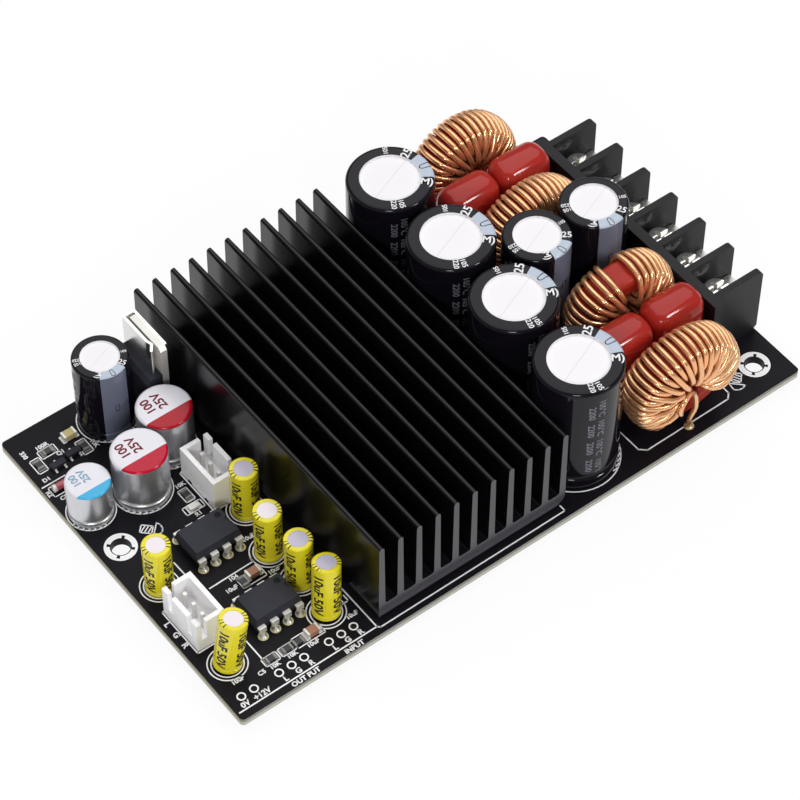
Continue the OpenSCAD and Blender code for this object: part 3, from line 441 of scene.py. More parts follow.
CORE = Finish("red_core", "#a82b1c", "#8c2016", (0.3, 0.45), grain=3500, bump=0.01, spec=0.25)
COPPER = Finish("copper_enamel", "#f8c493", "#eaa874", (0.22, 0.3), metal=0.8, coat=0.35, grain=900,
                bump=0.002)
FILM = Finish("red_film", "#a92a23", "#95211b", (0.1, 0.15), grain=260, bump=0.02, spec=0.3)
PRINT = Finish("white_print", "#f4f3f5", "#ebeaec", (0.5, 0.65), grain=6000)
RED_INK = Finish("red_ink", "#7c1424", "#6c1020", (0.4, 0.55))
# Ink of the side marks, a darker grey than the white rim print: painted shade of the cans' sides.
SHADED_SIDE_INK = Finish("shaded_side_ink", "#6f6d78", "#605e69", (0.4, 0.55))
BLUE_INK = Finish("blue_ink", "#8fb4c8", "#7fa6bc", (0.4, 0.55))
BLACK_INK = Finish("black_ink", "#16150c", "#232116", (0.35, 0.5))
RESISTOR = Finish("chip_resistor", "#242328", "#302f34", (0.35, 0.5))
CERAMIC = Finish("chip_ceramic", "#a87a60", "#976a52", (0.4, 0.55))
CREAM = Finish("chip_cream", "#c4b47a", "#b3a36c", (0.4, 0.55))
LENS = Finish("lamp_lens", "#e6e6e0", "#d9d9d2", (0.2, 0.3), glow=0.3)
GLASS_BEAD = Finish("diode_bead", "#b04a52", "#963a42", (0.08, 0.18), coat=0.6)


@dataclass(frozen=True)
class Laminate:
    """Black mask on a board whose sawn outline shows the bare core.

    Attributes:
        name: Name of the material.
        mask: Colour of the mask.
        shade: Second colour of the mask.
        sides: Colour of the left and right edges.
        front: Colour of the front and rear edges.
        low: Colour of the lower part of all edges.
        skin: Depth of the upper part of an edge, in millimetres.
        band: Width along the outline in which sideways faces are bare, in millimetres.
        turned: How far an edge looks along X to count as a left or right one.
        steep: How far up a face may look and still be an edge.
        rough: Roughness of the smoothest and the roughest places.
        grain: Grains per metre.
        bump: Height of the grain in millimetres.
        spec: Level of the plain reflection.
    """

    name: str = "board_laminate"
    mask: str = "#131116"
    shade: str = "#1a181d"
    sides: str = "#8a8564"
    front: str = "#86857f"
    low: str = "#b8b6ac"
    skin: float = 0.7
    band: float = 2.0
    turned: float = 0.7
    steep: float = 0.5
    rough: tuple[float, float] = (0.3, 0.42)
    grain: float = 2500.0
    bump: float = 0.004
    spec: float = 0.08

    def material(self, middle: Vector, half: Vector) -> bpy.types.Material:
        """Build the finish for one board.

        Args:
            middle: Middle of the board in the row frame.
            half: Half of its length and width in millimetres.

        Returns:
            The material.
        """
        made, wiring, shader = start_material(self.name)
        grain = add_grain(wiring, self.grain)
        x, y, z = (wiring.math("ABSOLUTE", part) for part in wiring.split(wiring.place(middle)))
        facing = wiring.facing()
        rim_x, rim_y = ((size - self.band) * MM for size in (half.x, half.y))
        rim = wiring.either(wiring.above(x, rim_x), wiring.above(y, rim_y))
        bare = wiring.mix(wiring.above(facing[0], self.turned), linear(self.front), linear(self.sides))
        bare = wiring.mix(wiring.above(z, self.skin * MM), bare, linear(self.low))
        colour = wiring.mix(grain.outputs["Drift"], linear(self.mask), linear(self.shade))
        colour = wiring.mix(wiring.both(rim, wiring.below(facing[2], self.steep)), colour, bare)
        wiring.feed(shader.inputs["Base Color"], colour)
        wiring.feed(shader.inputs["Roughness"], wiring.blend(grain.outputs["Grain"], *self.rough))
        shader.inputs["Specular IOR Level"].default_value = self.spec
        add_bump(wiring, shader, grain.outputs["Grain"], self.bump)
        return made


# Modelling helpers


def deselect_all() -> None:
    """Leave edit mode and deselect every object."""
    if bpy.context.object and bpy.context.object.mode != "OBJECT":
        bpy.ops.object.mode_set(mode="OBJECT")
    bpy.ops.object.select_all(action="DESELECT")


def pick(piece: Piece) -> Piece:
    """Select one piece alone and make it active."""
    deselect_all()
    piece.select_set(True)
    bpy.context.view_layer.objects.active = piece
    return piece


def settle(piece: Piece) -> Piece:
    """Move a piece's place, turn and scale into its mesh."""
    pick(piece)
    bpy.ops.object.transform_apply(location=True, rotation=True, scale=True)
    return piece


def join(pieces: Sequence[Piece], name: str) -> Piece:
    """Join several pieces into one.

    Args:
        pieces: Pieces to join; the first keeps its object.
        name: Name of the joined piece.

    Returns:
        The joined piece.
    """
    deselect_all()
    for piece in pieces:
        piece.select_set(True)
    bpy.context.view_layer.objects.active = pieces[0]
    if len(pieces) > 1:
        bpy.ops.object.join()
    pieces[0].name = name
    pieces[0].data.name = name
    return pieces[0]


def spread(piece: Piece, places: Sequence[Vector], name: str) -> Piece:
    """Copy a piece to several places and join the copies.

    Args:
        piece: Piece round the origin.
        places: Place of each copy.
        name: Name of the joined piece.

    Returns:
        The joined piece, with its places in its mesh.
    """
    copies = []
    for place in places:
        copy = piece.copy()
        copy.data = piece.data.copy()
        bpy.context.collection.objects.link(copy)
        copy.location = place
        copies.append(settle(copy))
    bpy.data.objects.remove(piece)
    return join(copies, name)


def apply_modifier(piece: Piece, kind: str, **settings: object) -> None:
    """Add a modifier to a piece and apply it.

    Args:
        piece: Piece to change.
        kind: Blender's modifier type.
        settings: Properties of the modifier by name.
    """
    pick(piece)
    modifier = piece.modifiers.new(kind.lower(), kind)
    for name, value in settings.items():
        setattr(modifier, name, value)
    bpy.ops.object.modifier_apply(modifier=modifier.name)


def smooth(piece: Piece, degrees: float = 40.0) -> None:
    """Shade a piece smooth up to an angle."""
    pick(piece)
    bpy.ops.object.shade_smooth_by_angle(angle=math.radians(degrees))


def bevel_edges(piece: Piece, chosen: Callable[[Vector, Vector], bool], width: float, steps: int) -> None:
    """Bevel the edges of a piece that a test picks.

    Args:
        piece: Piece to change, with its place in its mesh.
        chosen: Test of an edge's middle and direction.
        width: Width of the bevel in metres.
        steps: Segments of the bevel.
    """
    pick(piece)
    bpy.ops.object.mode_set(mode="EDIT")
    bpy.ops.mesh.select_mode(type="EDGE")
    bpy.ops.mesh.select_all(action="DESELECT")
    bpy.ops.object.mode_set(mode="OBJECT")
    points = piece.data.vertices
    for edge in piece.data.edges:
        a, b = points[edge.vertices[0]].co, points[edge.vertices[1]].co
        edge.select = chosen((a + b) / 2, (b - a).normalized())
    bpy.ops.object.mode_set(mode="EDIT")
    bpy.ops.mesh.bevel(offset=width, segments=steps, affect="EDGES")
    bpy.ops.object.mode_set(mode="OBJECT")


def block(low: Vector, high: Vector) -> Piece:
    """Make a sharp block between two corners, with its place in its mesh."""
    deselect_all()
    bpy.ops.mesh.primitive_cube_add(size=1, location=(low + high) / 2)
    piece = bpy.context.object
    piece.scale = high - low
    return settle(piece)


def rounded_block(low: Vector, high: Vector, width: float, steps: int = 2) -> Piece:
    """Make a block with bevelled edges.

    Args:
        low: Lowest corner.
        high: Highest corner.
        width: Width of the bevel in metres.
        steps: Segments of the bevel.

    Returns:
        The block, with its place in its mesh.
    """
    piece = block(low, high)
    bevel_edges(piece, lambda middle, way: True, width, steps)
    return piece


def dress(piece: Piece, *finishes: Finish | bpy.types.Material) -> Piece:
    """Give a piece its materials.

    Args:
        piece: Piece or CAD node.
        finishes: Finishes or materials, one for each slot.

    Returns:
        The same piece.
    """
    piece.data.materials.clear()
    for finish in finishes:
        made = finish.material() if isinstance(finish, Finish) else finish
        piece.data.materials.append(made)
    return piece


def mount(piece: Piece, slot: str, *nodes: str, body: str = ROOT_BODY) -> Piece:
    """Hand a finished piece over: its body and the nodes it stands for.

    Args:
        piece: Finished piece.
        slot: Material slot of the record; not used.
        nodes: CAD nodes that the piece replaces.
        body: Body that carries it.

    Returns:
        The same piece.
    """
    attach(piece, body)
    if nodes:
        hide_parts(*nodes)
    LOG.info("piece %s rides on %s", piece.name, body)
    return piece


def middle_of(node: str) -> Vector:
    """Middle of a CAD node's box."""
    low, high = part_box(node)
    return (low + high) / 2


# The board, its print and its solder


@dataclass(frozen=True)
class Label:
    """One printed label.

    Attributes:
        text: Letters of the label.
        x: Middle along the board, in millimetres.
        y: Middle across the board, in millimetres.
        size: Height of the letters, in millimetres.
        facing: Way that the label reads.
    """

    text: str
    x: float
    y: float
    size: float = 0.85
    facing: Facing = Facing.FRONT


def lettering(text: str, size: float, bold: Bold) -> Piece:
    """Make a line of letters as a flat mesh round the origin.

    Args:
        text: Letters of the line.
        size: Height of the letters in metres.
        bold: Kind of print, which says how bold it is.

    Returns:
        The letters, face up.
    """
    deselect_all()
    bpy.ops.object.text_add()
    piece = bpy.context.object
    piece.data.body = text
    piece.data.size = size * LETTER_SIZE
    piece.data.offset = size * bold.value
    piece.data.align_x = "CENTER"
    piece.data.align_y = "CENTER"
    piece.data.resolution_u = 3
    pick(piece)
    bpy.ops.object.convert(target="MESH")
    return bpy.context.object


def thicken(piece: Piece, depth: float) -> Piece:
    """Give a flat print its thickness, outwards."""
    apply_modifier(piece, "SOLIDIFY", thickness=depth, offset=1.0)
    return piece


@dataclass
class Board:
    """Circuit board with its white print, pad rings and solder.

    Lengths are in millimetres, and places are counted from the board's middle.

    Attributes:
        lift: Height of the print over the board.
        ink: Thickness of the print.
        line: Usual width of a printed line.
        thin: Width of the lines round the small chips.
        sign: Width of the lines of a screw sign.
        left_hole: Place of the left fixing hole from the left edge and from the middle.
        right_hole: Place of the right front fixing hole from the right and the front edge.
        hole_ring: Outer and inner radius of the ring round a fixing hole.
        hole_dashes: Outer and inner radius of the broken ring inside it.
        hole_gaps: Directions of the gaps in the broken ring, in degrees.
        screw_signs: Place and turn of each screw sign.
        pin_rows: Steps of the open pin holes, counted from the left.
        pin_start: Place of the first of them from the left and the front edge.
        pin_pitch: Pitch of pins and chip leads.
        pin_ring: Outer and inner radius of the ring round a pin hole.
        signal_rings: Outer and inner radius of the rings round a small capacitor.
        signal_shifts: Way from the middle to the foot of each small capacitor that leans.
        ticked_rings: Capacitors with a ticked ring: radius, and first, last and step of the ticks.
        ring_out: Inner and outer edge of a ticked ring past its capacitor.
        tick_out: Inner and outer end of a tick past its capacitor.
        tick_slant: Half of the angle that a tick leans over, in degrees.
        tick_line: Share of the usual width that a tick has.
        bulk_ring: Outer and inner radius of the ring round a large capacitor.
        medium_ring: Outer and inner radius of the ring round a medium capacitor.
        plug_box: Length and width of the outline of a plug.
        chip_boxes: Place, length and width of each outline of small chips.
        routes: Points of the other printed lines.
        letter_step: Distance between the letters of the pin names.
        chip_rows: Places across the board of the two signal chips.
        chip_lead_x: Place along the board of a chip's first lead.
        chip_lead_reach: Distance of a row of leads from its chip's middle.
        pad: Outer and inner radius of a gilt pad.
        mound: Lower and upper radius of the foot of a solder mound.
        mound_foot: Height of that foot.
        mound_rise: Height of the mound over its foot.
        mound_top: Share of the foot's upper radius at the mound's top.
        coil_foot: Place of the front coil's lead.
        shapes: Printed shapes that are not joined yet.
    """

    lift: float = 0.005
    ink: float = 0.03
    line: float = 0.26
    thin: float = 0.2
    sign: float = 0.22
    left_hole: tuple[float, float] = (4.1, 4.9)
    right_hole: tuple[float, float] = (5.6, 5.9)
    hole_ring: tuple[float, float] = (2.9, 2.45)
    hole_dashes: tuple[float, float] = (2.46, 1.88)
    hole_gaps: tuple[float, ...] = (45, 135, 225, 315)
    screw_signs: tuple[tuple[float, float, float], ...] = ((-51.0, 5.35, -45), (50.6, -30.5, -135))
    pin_rows: tuple[int, ...] = (0, 1, 3, 4, 5, 7, 8, 9)
    pin_start: tuple[float, float] = (2.7, 4.0)
    pin_pitch: float = 2.54
    pin_ring: tuple[float, float] = (0.82, 0.56)
    signal_rings: tuple[tuple[float, float], ...] = ((3.5, 3.27), (2.85, 2.62))
    signal_shifts: tuple[tuple[int, tuple[float, float]], ...] = ((4, (-0.6, -0.6)), (5, (-0.8, 0.1)))
    ticked_rings: tuple[tuple[str, float, tuple[int, int, int]], ...] = (
        ("polymer_capacitor_rear", 5.0, (-165, -90, 12)), ("polymer_capacitor_front", 5.0, (-165, -90, 12)),
        ("polymer_capacitor_small", 4.0, (-170, -80, 14)), ("slim_capacitor", 5.0, (-140, -60, 13)),
        ("bulk_capacitor_4", 8.1, (-62, -20, 8)))
    ring_out: tuple[float, float] = (0.2, 0.42)
    tick_out: tuple[float, float] = (-0.15, 0.3)
    tick_slant: float = 4.0
    tick_line: float = 0.8
    bulk_ring: tuple[float, float] = (8.5, 8.25)
    medium_ring: tuple[float, float] = (6.7, 6.45)
    plug_box: tuple[float, float] = (6.25, 10.4)
    chip_boxes: tuple[tuple[float, float, float, float], ...] = (
        (-49.83, -29.0, 2.9, 1.75), (-46.53, -29.0, 2.9, 1.75), (-42.2, -28.95, 5.6, 2.2),
        (-42.65, -13.7, 4.75, 2.15), (-41.43, 7.2, 1.8, 2.9), (-41.95, 4.3, 3.7, 1.7),
        (-49.43, 26.6, 1.9, 3.3), (-58.0, 27.8, 1.9, 3.3), (-55.1, 29.5, 3.3, 1.9),
        (-57.46, 21.6, 4.1, 2.3))
    routes: tuple[tuple[tuple[float, float], ...], ...] = (
        ((-60.0, -34.45), (-32.05, -34.4), (-32.05, -24.7)),
        ((-32.0, -34.45), (-31.6, -34.85), (7.95, -34.75), (7.95, -33.5)),
        ((-50.95, -23.7), (-50.95, -28.1)), ((-51.3, -3.3), (-51.2, -7.9)),
        ((-49.55, -11.25), (-40.6, -11.1), (-40.5, -10.25)), ((-60.2, 23.4), (-55.6, 23.4)),
        ((-32.65, -26.0), (-32.65, -27.3), (-33.8, -27.3)),
        ((26.35, -24.0), (26.45, -32.2), (27.6, -33.3), (46.2, -33.2), (47.2, -32.2), (47.2, -24.0)))
    letter_step: float = 2.6
    chip_rows: tuple[float, ...] = (-3.6, -20.72)
    chip_lead_x: float = -48.14
    chip_lead_reach: float = 3.82
    pad: tuple[float, float] = (0.92, 0.3)
    mound: tuple[float, float] = (0.66, 0.48)
    mound_foot: float = 0.12
    mound_rise: float = 0.2
    mound_top: float = 0.62
    coil_foot: tuple[float, float] = (36.82, -33.6)
    shapes: list[Piece] = field(default_factory=list)

    def __post_init__(self) -> None:
        """Read the board's middle and top from its solid."""
        low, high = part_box("circuit_board")
        self.middle = Vector(((low.x + high.x) / 2, (low.y + high.y) / 2, high.z))
        self.half = Vector(((high.x - low.x) / 2, (high.y - low.y) / 2, 0)) / MM

    def at(self, x: float, y: float, z: float = 0.0) -> Vector:
        """Point over the board's middle, from millimetres to the row frame."""
        return self.middle + Vector((x, y, z)) * MM

    def spot(self, node: str) -> tuple[float, float]:
        """Middle of a node over the board, in millimetres."""
        middle = (middle_of(node) - self.middle) / MM
        return middle.x, middle.y

    def bar(self, x0: float, y0: float, x1: float, y1: float, width: float = 0.0) -> None:
        """Print a straight line.

        Args:
            x0: Start along the board.
            y0: Start across the board.
            x1: End along the board.
            y1: End across the board.
            width: Width of the line, or nothing for the usual one.
        """
        deselect_all()
        width = width or self.line
        run = Vector((x1 - x0, y1 - y0))
        bpy.ops.mesh.primitive_plane_add(size=1, location=self.at((x0 + x1) / 2, (y0 + y1) / 2, self.lift))
        piece = bpy.context.object
        piece.scale = ((run.length + width) * MM, width * MM, 1)
        piece.rotation_euler = (0, 0, math.atan2(run.y, run.x))
        self.shapes.append(settle(piece))

    def path(self, points: Sequence[tuple[float, float]], width: float = 0.0) -> None:
        """Print a line through several points."""
        for a, b in zip(points, points[1:]):
            self.bar(*a, *b, width)

    def frame(self, x: float, y: float, along: float, across: float, width: float = 0.0) -> None:
        """Print the outline of a rectangle round a point.

        Args:
            x: Middle along the board.
            y: Middle across the board.
            along: Length along the board.
            across: Length across the board.
            width: Width of the line, or nothing for the usual one.
        """
        a, b = along / 2, across / 2
        self.path([(x - a, y - b), (x + a, y - b), (x + a, y + b), (x - a, y + b), (x - a, y - b)], width)

    def ring(self, x: float, y: float, outer: float, inner: float, gaps: Sequence[float] = ()) -> None:
        """Print a ring, whole or with gaps.

        Args:
            x: Middle along the board.
            y: Middle across the board.
            outer: Outer radius.
            inner: Inner radius.
            gaps: Directions of the gaps in degrees.
        """
        deselect_all()
        bpy.ops.mesh.primitive_circle_add(
            vertices=RING_STEPS, radius=outer * MM, fill_type="NGON", location=self.at(x, y, self.lift))
        piece = bpy.context.object
        bpy.ops.object.mode_set(mode="EDIT")
        bpy.ops.mesh.select_all(action="SELECT")
        bpy.ops.mesh.inset(thickness=(outer - inner) * MM)
        bpy.ops.mesh.delete(type="FACE")
        bpy.ops.object.mode_set(mode="OBJECT")
        if gaps:
            for face in piece.data.polygons:
                turn = math.degrees(math.atan2(face.center.y, face.center.x))
                face.select = any(abs((turn - gap + 180) % 360 - 180) < GAP_HALF for gap in gaps)
            bpy.ops.object.mode_set(mode="EDIT")
            bpy.ops.mesh.delete(type="FACE")
            bpy.ops.object.mode_set(mode="OBJECT")
        self.shapes.append(settle(piece))

    def ticks(self, x: float, y: float, inner: float, outer: float, turns: Sequence[float]) -> None:
        """Print slanted ticks across a ring, as on the marked side of a capacitor's outline."""
        for turn in turns:
            a, b = math.radians(turn - self.tick_slant), math.radians(turn + self.tick_slant)
            self.bar(x + inner * math.cos(a), y + inner * math.sin(a),
                     x + outer * math.cos(b), y + outer * math.sin(b), self.line * self.tick_line)

    def words(self, label: Label) -> None:
        """Print a short generic label."""
        piece = lettering(label.text, label.size * MM, Bold.BOARD)
        piece.location = self.at(label.x, label.y, self.lift)
        piece.rotation_euler = (0, 0, math.radians(label.facing.value))
        self.shapes.append(settle(piece))

    def screw_sign(self, x: float, y: float, turn: float) -> None:
        """Print a small screw: a hatched shank and a round head.

        Args:
            x: Middle of the shank along the board.
            y: Middle of the shank across the board.
            turn: Way from the shank to the head in degrees from +X.
        """
        way = math.radians(turn)

        def turned(u: float, v: float) -> tuple[float, float]:
            """Point of the sign's own frame on the board."""
            return x + u * math.cos(way) - v * math.sin(way), y + u * math.sin(way) + v * math.cos(way)

        shank = [(-1.05, -0.8), (1.05, -0.8), (1.05, 0.8), (-1.05, 0.8), (-1.05, -0.8)]
        head = [(1.45, -1.3), (1.45, 1.6), (2.2, 1.25), (2.7, 0.6), (2.8, -0.3), (1.45, -1.3)]
        for outline in (shank, head):
            self.path([turned(*p) for p in outline], self.sign)
        for step in (-0.8, -0.2, 0.4):
            self.bar(*turned(step, -0.7), *turned(step + 0.45, 0.7), self.sign)

    def finish_print(self, name: str) -> Piece:
        """Join the printed shapes and give the ink its thickness.

        Args:
            name: Name of the print.

        Returns:
            The print as one piece.
        """
        piece = join(self.shapes, name)
        self.shapes = []
        return thicken(piece, self.ink * MM)

    def build(self) -> None:
        """Dress the board and make its print and its upper solder."""
        dress(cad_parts["circuit_board"], Laminate().material(self.middle, self.half))
        dress(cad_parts["solder_joints"], SOLDER)
        self.print_edges()
        self.print_outlines()
        self.print_labels()
        mount(dress(self.finish_print("board_print"), PRINT), "soldermask")
        self.solder_tops()

    def print_edges(self) -> None:
        """Print the fixing rings, the pin rings and the screw signs."""
        right, front = self.half.x - self.right_hole[0], -self.half.y + self.right_hole[1]
        for x, y in ((-self.half.x + self.left_hole[0], self.left_hole[1]), (right, front), (right, -front)):
            self.ring(x, y, *self.hole_ring)
            self.ring(x, y, *self.hole_dashes, self.hole_gaps)
        for sign in self.screw_signs:
            self.screw_sign(*sign)
        x, y = -self.half.x + self.pin_start[0], -self.half.y + self.pin_start[1]
        for k in self.pin_rows:
            self.ring(x + self.pin_pitch * k, y, *self.pin_ring)

    def print_outlines(self) -> None:
        """Print the outlines round the parts and the lines between them."""
        shifts = dict(self.signal_shifts)
        for i in range(1, 7):
            x, y = self.spot(f"signal_capacitor_{i}")
            foot = shifts.get(i, (0, 0))
            for radii in self.signal_rings:
                self.ring(x + foot[0], y + foot[1], *radii)
        for node, radius, turns in self.ticked_rings:
            x, y = self.spot(node)
            self.ring(x, y, radius + self.ring_out[1], radius + self.ring_out[0])
            self.ticks(x, y, radius + self.tick_out[0], radius + self.tick_out[1], range(*turns))
        for i in range(1, 4):
            self.ring(*self.spot(f"bulk_capacitor_{i}"), *self.bulk_ring)
        for i in (1, 2):
            self.ring(*self.spot(f"medium_capacitor_{i}"), *self.medium_ring)
        for node in ("signal_plug_rear", "signal_plug_front"):
            self.frame(*self.spot(node), *self.plug_box)
        for box in self.chip_boxes:
            self.frame(*box, self.thin)
        for points in self.routes:
            self.path(points)

    def print_labels(self) -> None:
        """Print the generic labels of terminals and values."""
        for x in (-50.1, -40.0):
            for step, letter in enumerate("LGR"):
                self.words(Label(letter, x + self.letter_step * step, -33.6, 1.05))
        for step, letter in enumerate("LGR"):
            self.words(Label(letter, -59.45, -13.0 - self.letter_step * step, 1.1, Facing.LEFT))
        for label in (
                Label("0V", -58.25, -33.62, 1.05), Label("+12V", -54.9, -33.65, 1.05),
                Label("OUT PUT", -47.3, -35.35, 0.95), Label("INPUT", -37.4, -35.4, 0.95),
                Label("10uF", -56.6, -29.1), Label("C5", -52.55, -30.25),
                Label("10K", -50.0, -30.4), Label("10K", -46.5, -30.4), Label("10uF", -42.4, -30.65),
                Label("10uF", -33.9, -30.0), Label("104", -45.2, -11.9), Label("10uF", -46.75, -13.65),
                Label("10uF", -38.8, -14.75), Label("10uF", -38.3, -6.6), Label("10K", -41.1, 9.6),
                Label("R1", -42.0, 2.7), Label("100R", -55.3, 31.1),
                Label("330", -58.9, 31.3, facing=Facing.LEFT), Label("10K", -47.6, 26.2, facing=Facing.LEFT),
                Label("Q1", -53.4, 28.0), Label("D1", -58.6, 24.5),
                Label("R2", -60.0, 21.6, facing=Facing.LEFT), Label("C8", -58.3, 19.5)):
            self.words(label)

    def solder_tops(self) -> None:
        """Model the gilt pads and the solder round the signal chips' leads."""
        spots = [(self.chip_lead_x + self.pin_pitch * k, row + side * self.chip_lead_reach)
                 for row in self.chip_rows for side in (-1, 1) for k in range(4)]
        spots.append(self.coil_foot)
        for x, y in spots:
            self.ring(x, y, *self.pad)
        mount(dress(self.finish_print("gilt_pads"), GILT), "solder")
        deselect_all()
        bpy.ops.mesh.primitive_cone_add(
            vertices=20, radius1=self.mound[0] * MM, radius2=self.mound[1] * MM, depth=self.mound_foot * MM)
        mound = bpy.context.object
        bpy.ops.object.mode_set(mode="EDIT")
        bpy.ops.mesh.select_all(action="DESELECT")
        bpy.ops.object.mode_set(mode="OBJECT")
        for face in mound.data.polygons:
            face.select = face.normal.z > SQUARE_ON
        bpy.ops.object.mode_set(mode="EDIT")
        bpy.ops.mesh.select_mode(type="FACE")
        bpy.ops.mesh.extrude_region_move(TRANSFORM_OT_translate={"value": (0, 0, self.mound_rise * MM)})
        bpy.ops.transform.resize(value=(self.mound_top, self.mound_top, 1))
        bpy.ops.object.mode_set(mode="OBJECT")
        places = [self.at(x, y, self.lift + self.ink + self.mound_foot / 2) for x, y in spots]
        piece = spread(mound, places, "chip_solder")
        smooth(piece, 50)
        mount(dress(piece, SOLDER), "solder")


# Capacitors


@dataclass(frozen=True)
class Can:
    """Where a round can stands, and how it leans.

    Attributes:
        node: CAD node of the can.
        foot: Middle of its foot in the row frame.
        turn: Turn of the can in radians about X, then about Y.
        radius: Radius of the can.
        tall: Height of the can.
    """

    node: str
    foot: Vector
    turn: tuple[float, float, float]
    radius: float
    tall: float

    @property
    def wide(self) -> float:
        """Diameter of the can."""
        return 2 * self.radius

    @classmethod
    def standing(cls, node: str, board: Board, lean: tuple[float, float] = (0, 0), like: str = "") -> "Can":
        """Read a can's place from its solid.

        Args:
            node: CAD node of the can.
            board: Board that it stands on.
            lean: Lean to +X and to +Y in degrees.
            like: Upright node of the same size, for a can that leans.

        Returns:
            The can.
        """
        low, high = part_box(like or node)
        radius, tall = (high.x - low.x) / 2, high.z - board.middle.z
        low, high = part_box(node)
        turn = (math.radians(-lean[1]), math.radians(lean[0]), 0.0)
        pose = Matrix.Rotation(turn[1], 3, "Y") @ Matrix.Rotation(turn[0], 3, "X")
        half = [radius * math.hypot(pose[k][0], pose[k][1]) for k in (0, 1)]
        x = low.x + half[0] if lean[0] >= 0 else high.x - half[0]
        y = low.y + half[1] if lean[1] >= 0 else high.y - half[1]
        rise = radius * math.sin(math.radians(math.hypot(*lean)))
        return cls(node, Vector((x, y, board.middle.z + rise)), turn, radius, tall)

    def seat(self) -> Matrix:
        """Turn and place of the can's own frame."""
        pose = Matrix.Rotation(self.turn[1], 4, "Y") @ Matrix.Rotation(self.turn[0], 4, "X")
        return Matrix.Translation(self.foot) @ pose

    def rim(self, degrees: float, out: float) -> Matrix:
        """Frame of a line of letters that runs outwards on the rim.

        Args:
            degrees: Direction of the line from +X.
            out: Distance of its middle from the axis, in metres.

        Returns:
            The frame.
        """
        return (self.seat() @ Matrix.Rotation(math.radians(degrees), 4, "Z")
                @ Matrix.Translation((out, 0, self.tall + PRINT_LIFT)))

    def side(self, degrees: float, height: float) -> Matrix:
        """Frame of a line of letters that runs down the side.

        Args:
            degrees: Direction of the line from +X.
            height: Height of its middle over the foot, in metres.

        Returns:
            The frame, a little off the side.
        """
        down = Matrix(((0, 0, 1), (0, 1, 0), (-1, 0, 0))).to_4x4()
        return (self.seat() @ Matrix.Rotation(math.radians(degrees), 4, "Z")
                @ Matrix.Translation((self.radius + WRAP_START, 0, height)) @ down)

    def rim_words(self, text: str, degrees: float, out: float, size: float) -> Piece:
        """Letters on the rim, running outwards."""
        piece = lettering(text, size, Bold.RIM)
        piece.matrix_world = self.rim(degrees, out)
        return thicken(settle(piece), PRINT_DEPTH)

    def side_words(self, text: str, degrees: float, height: float, size: float) -> Piece:
        """Letters wrapped on the side, running down."""
        piece = lettering(text, size, Bold.SIDE)
        bpy.ops.object.mode_set(mode="EDIT")
        bpy.ops.mesh.select_all(action="SELECT")
        bpy.ops.mesh.subdivide(number_cuts=2)
        bpy.ops.object.mode_set(mode="OBJECT")
        piece.matrix_world = self.side(degrees, height)
        apply_modifier(
            piece, "SHRINKWRAP", target=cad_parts[self.node], wrap_method="PROJECT", use_project_z=True,
            use_positive_direction=False, use_negative_direction=True, offset=PRINT_LIFT)
        return thicken(settle(piece), PRINT_DEPTH)


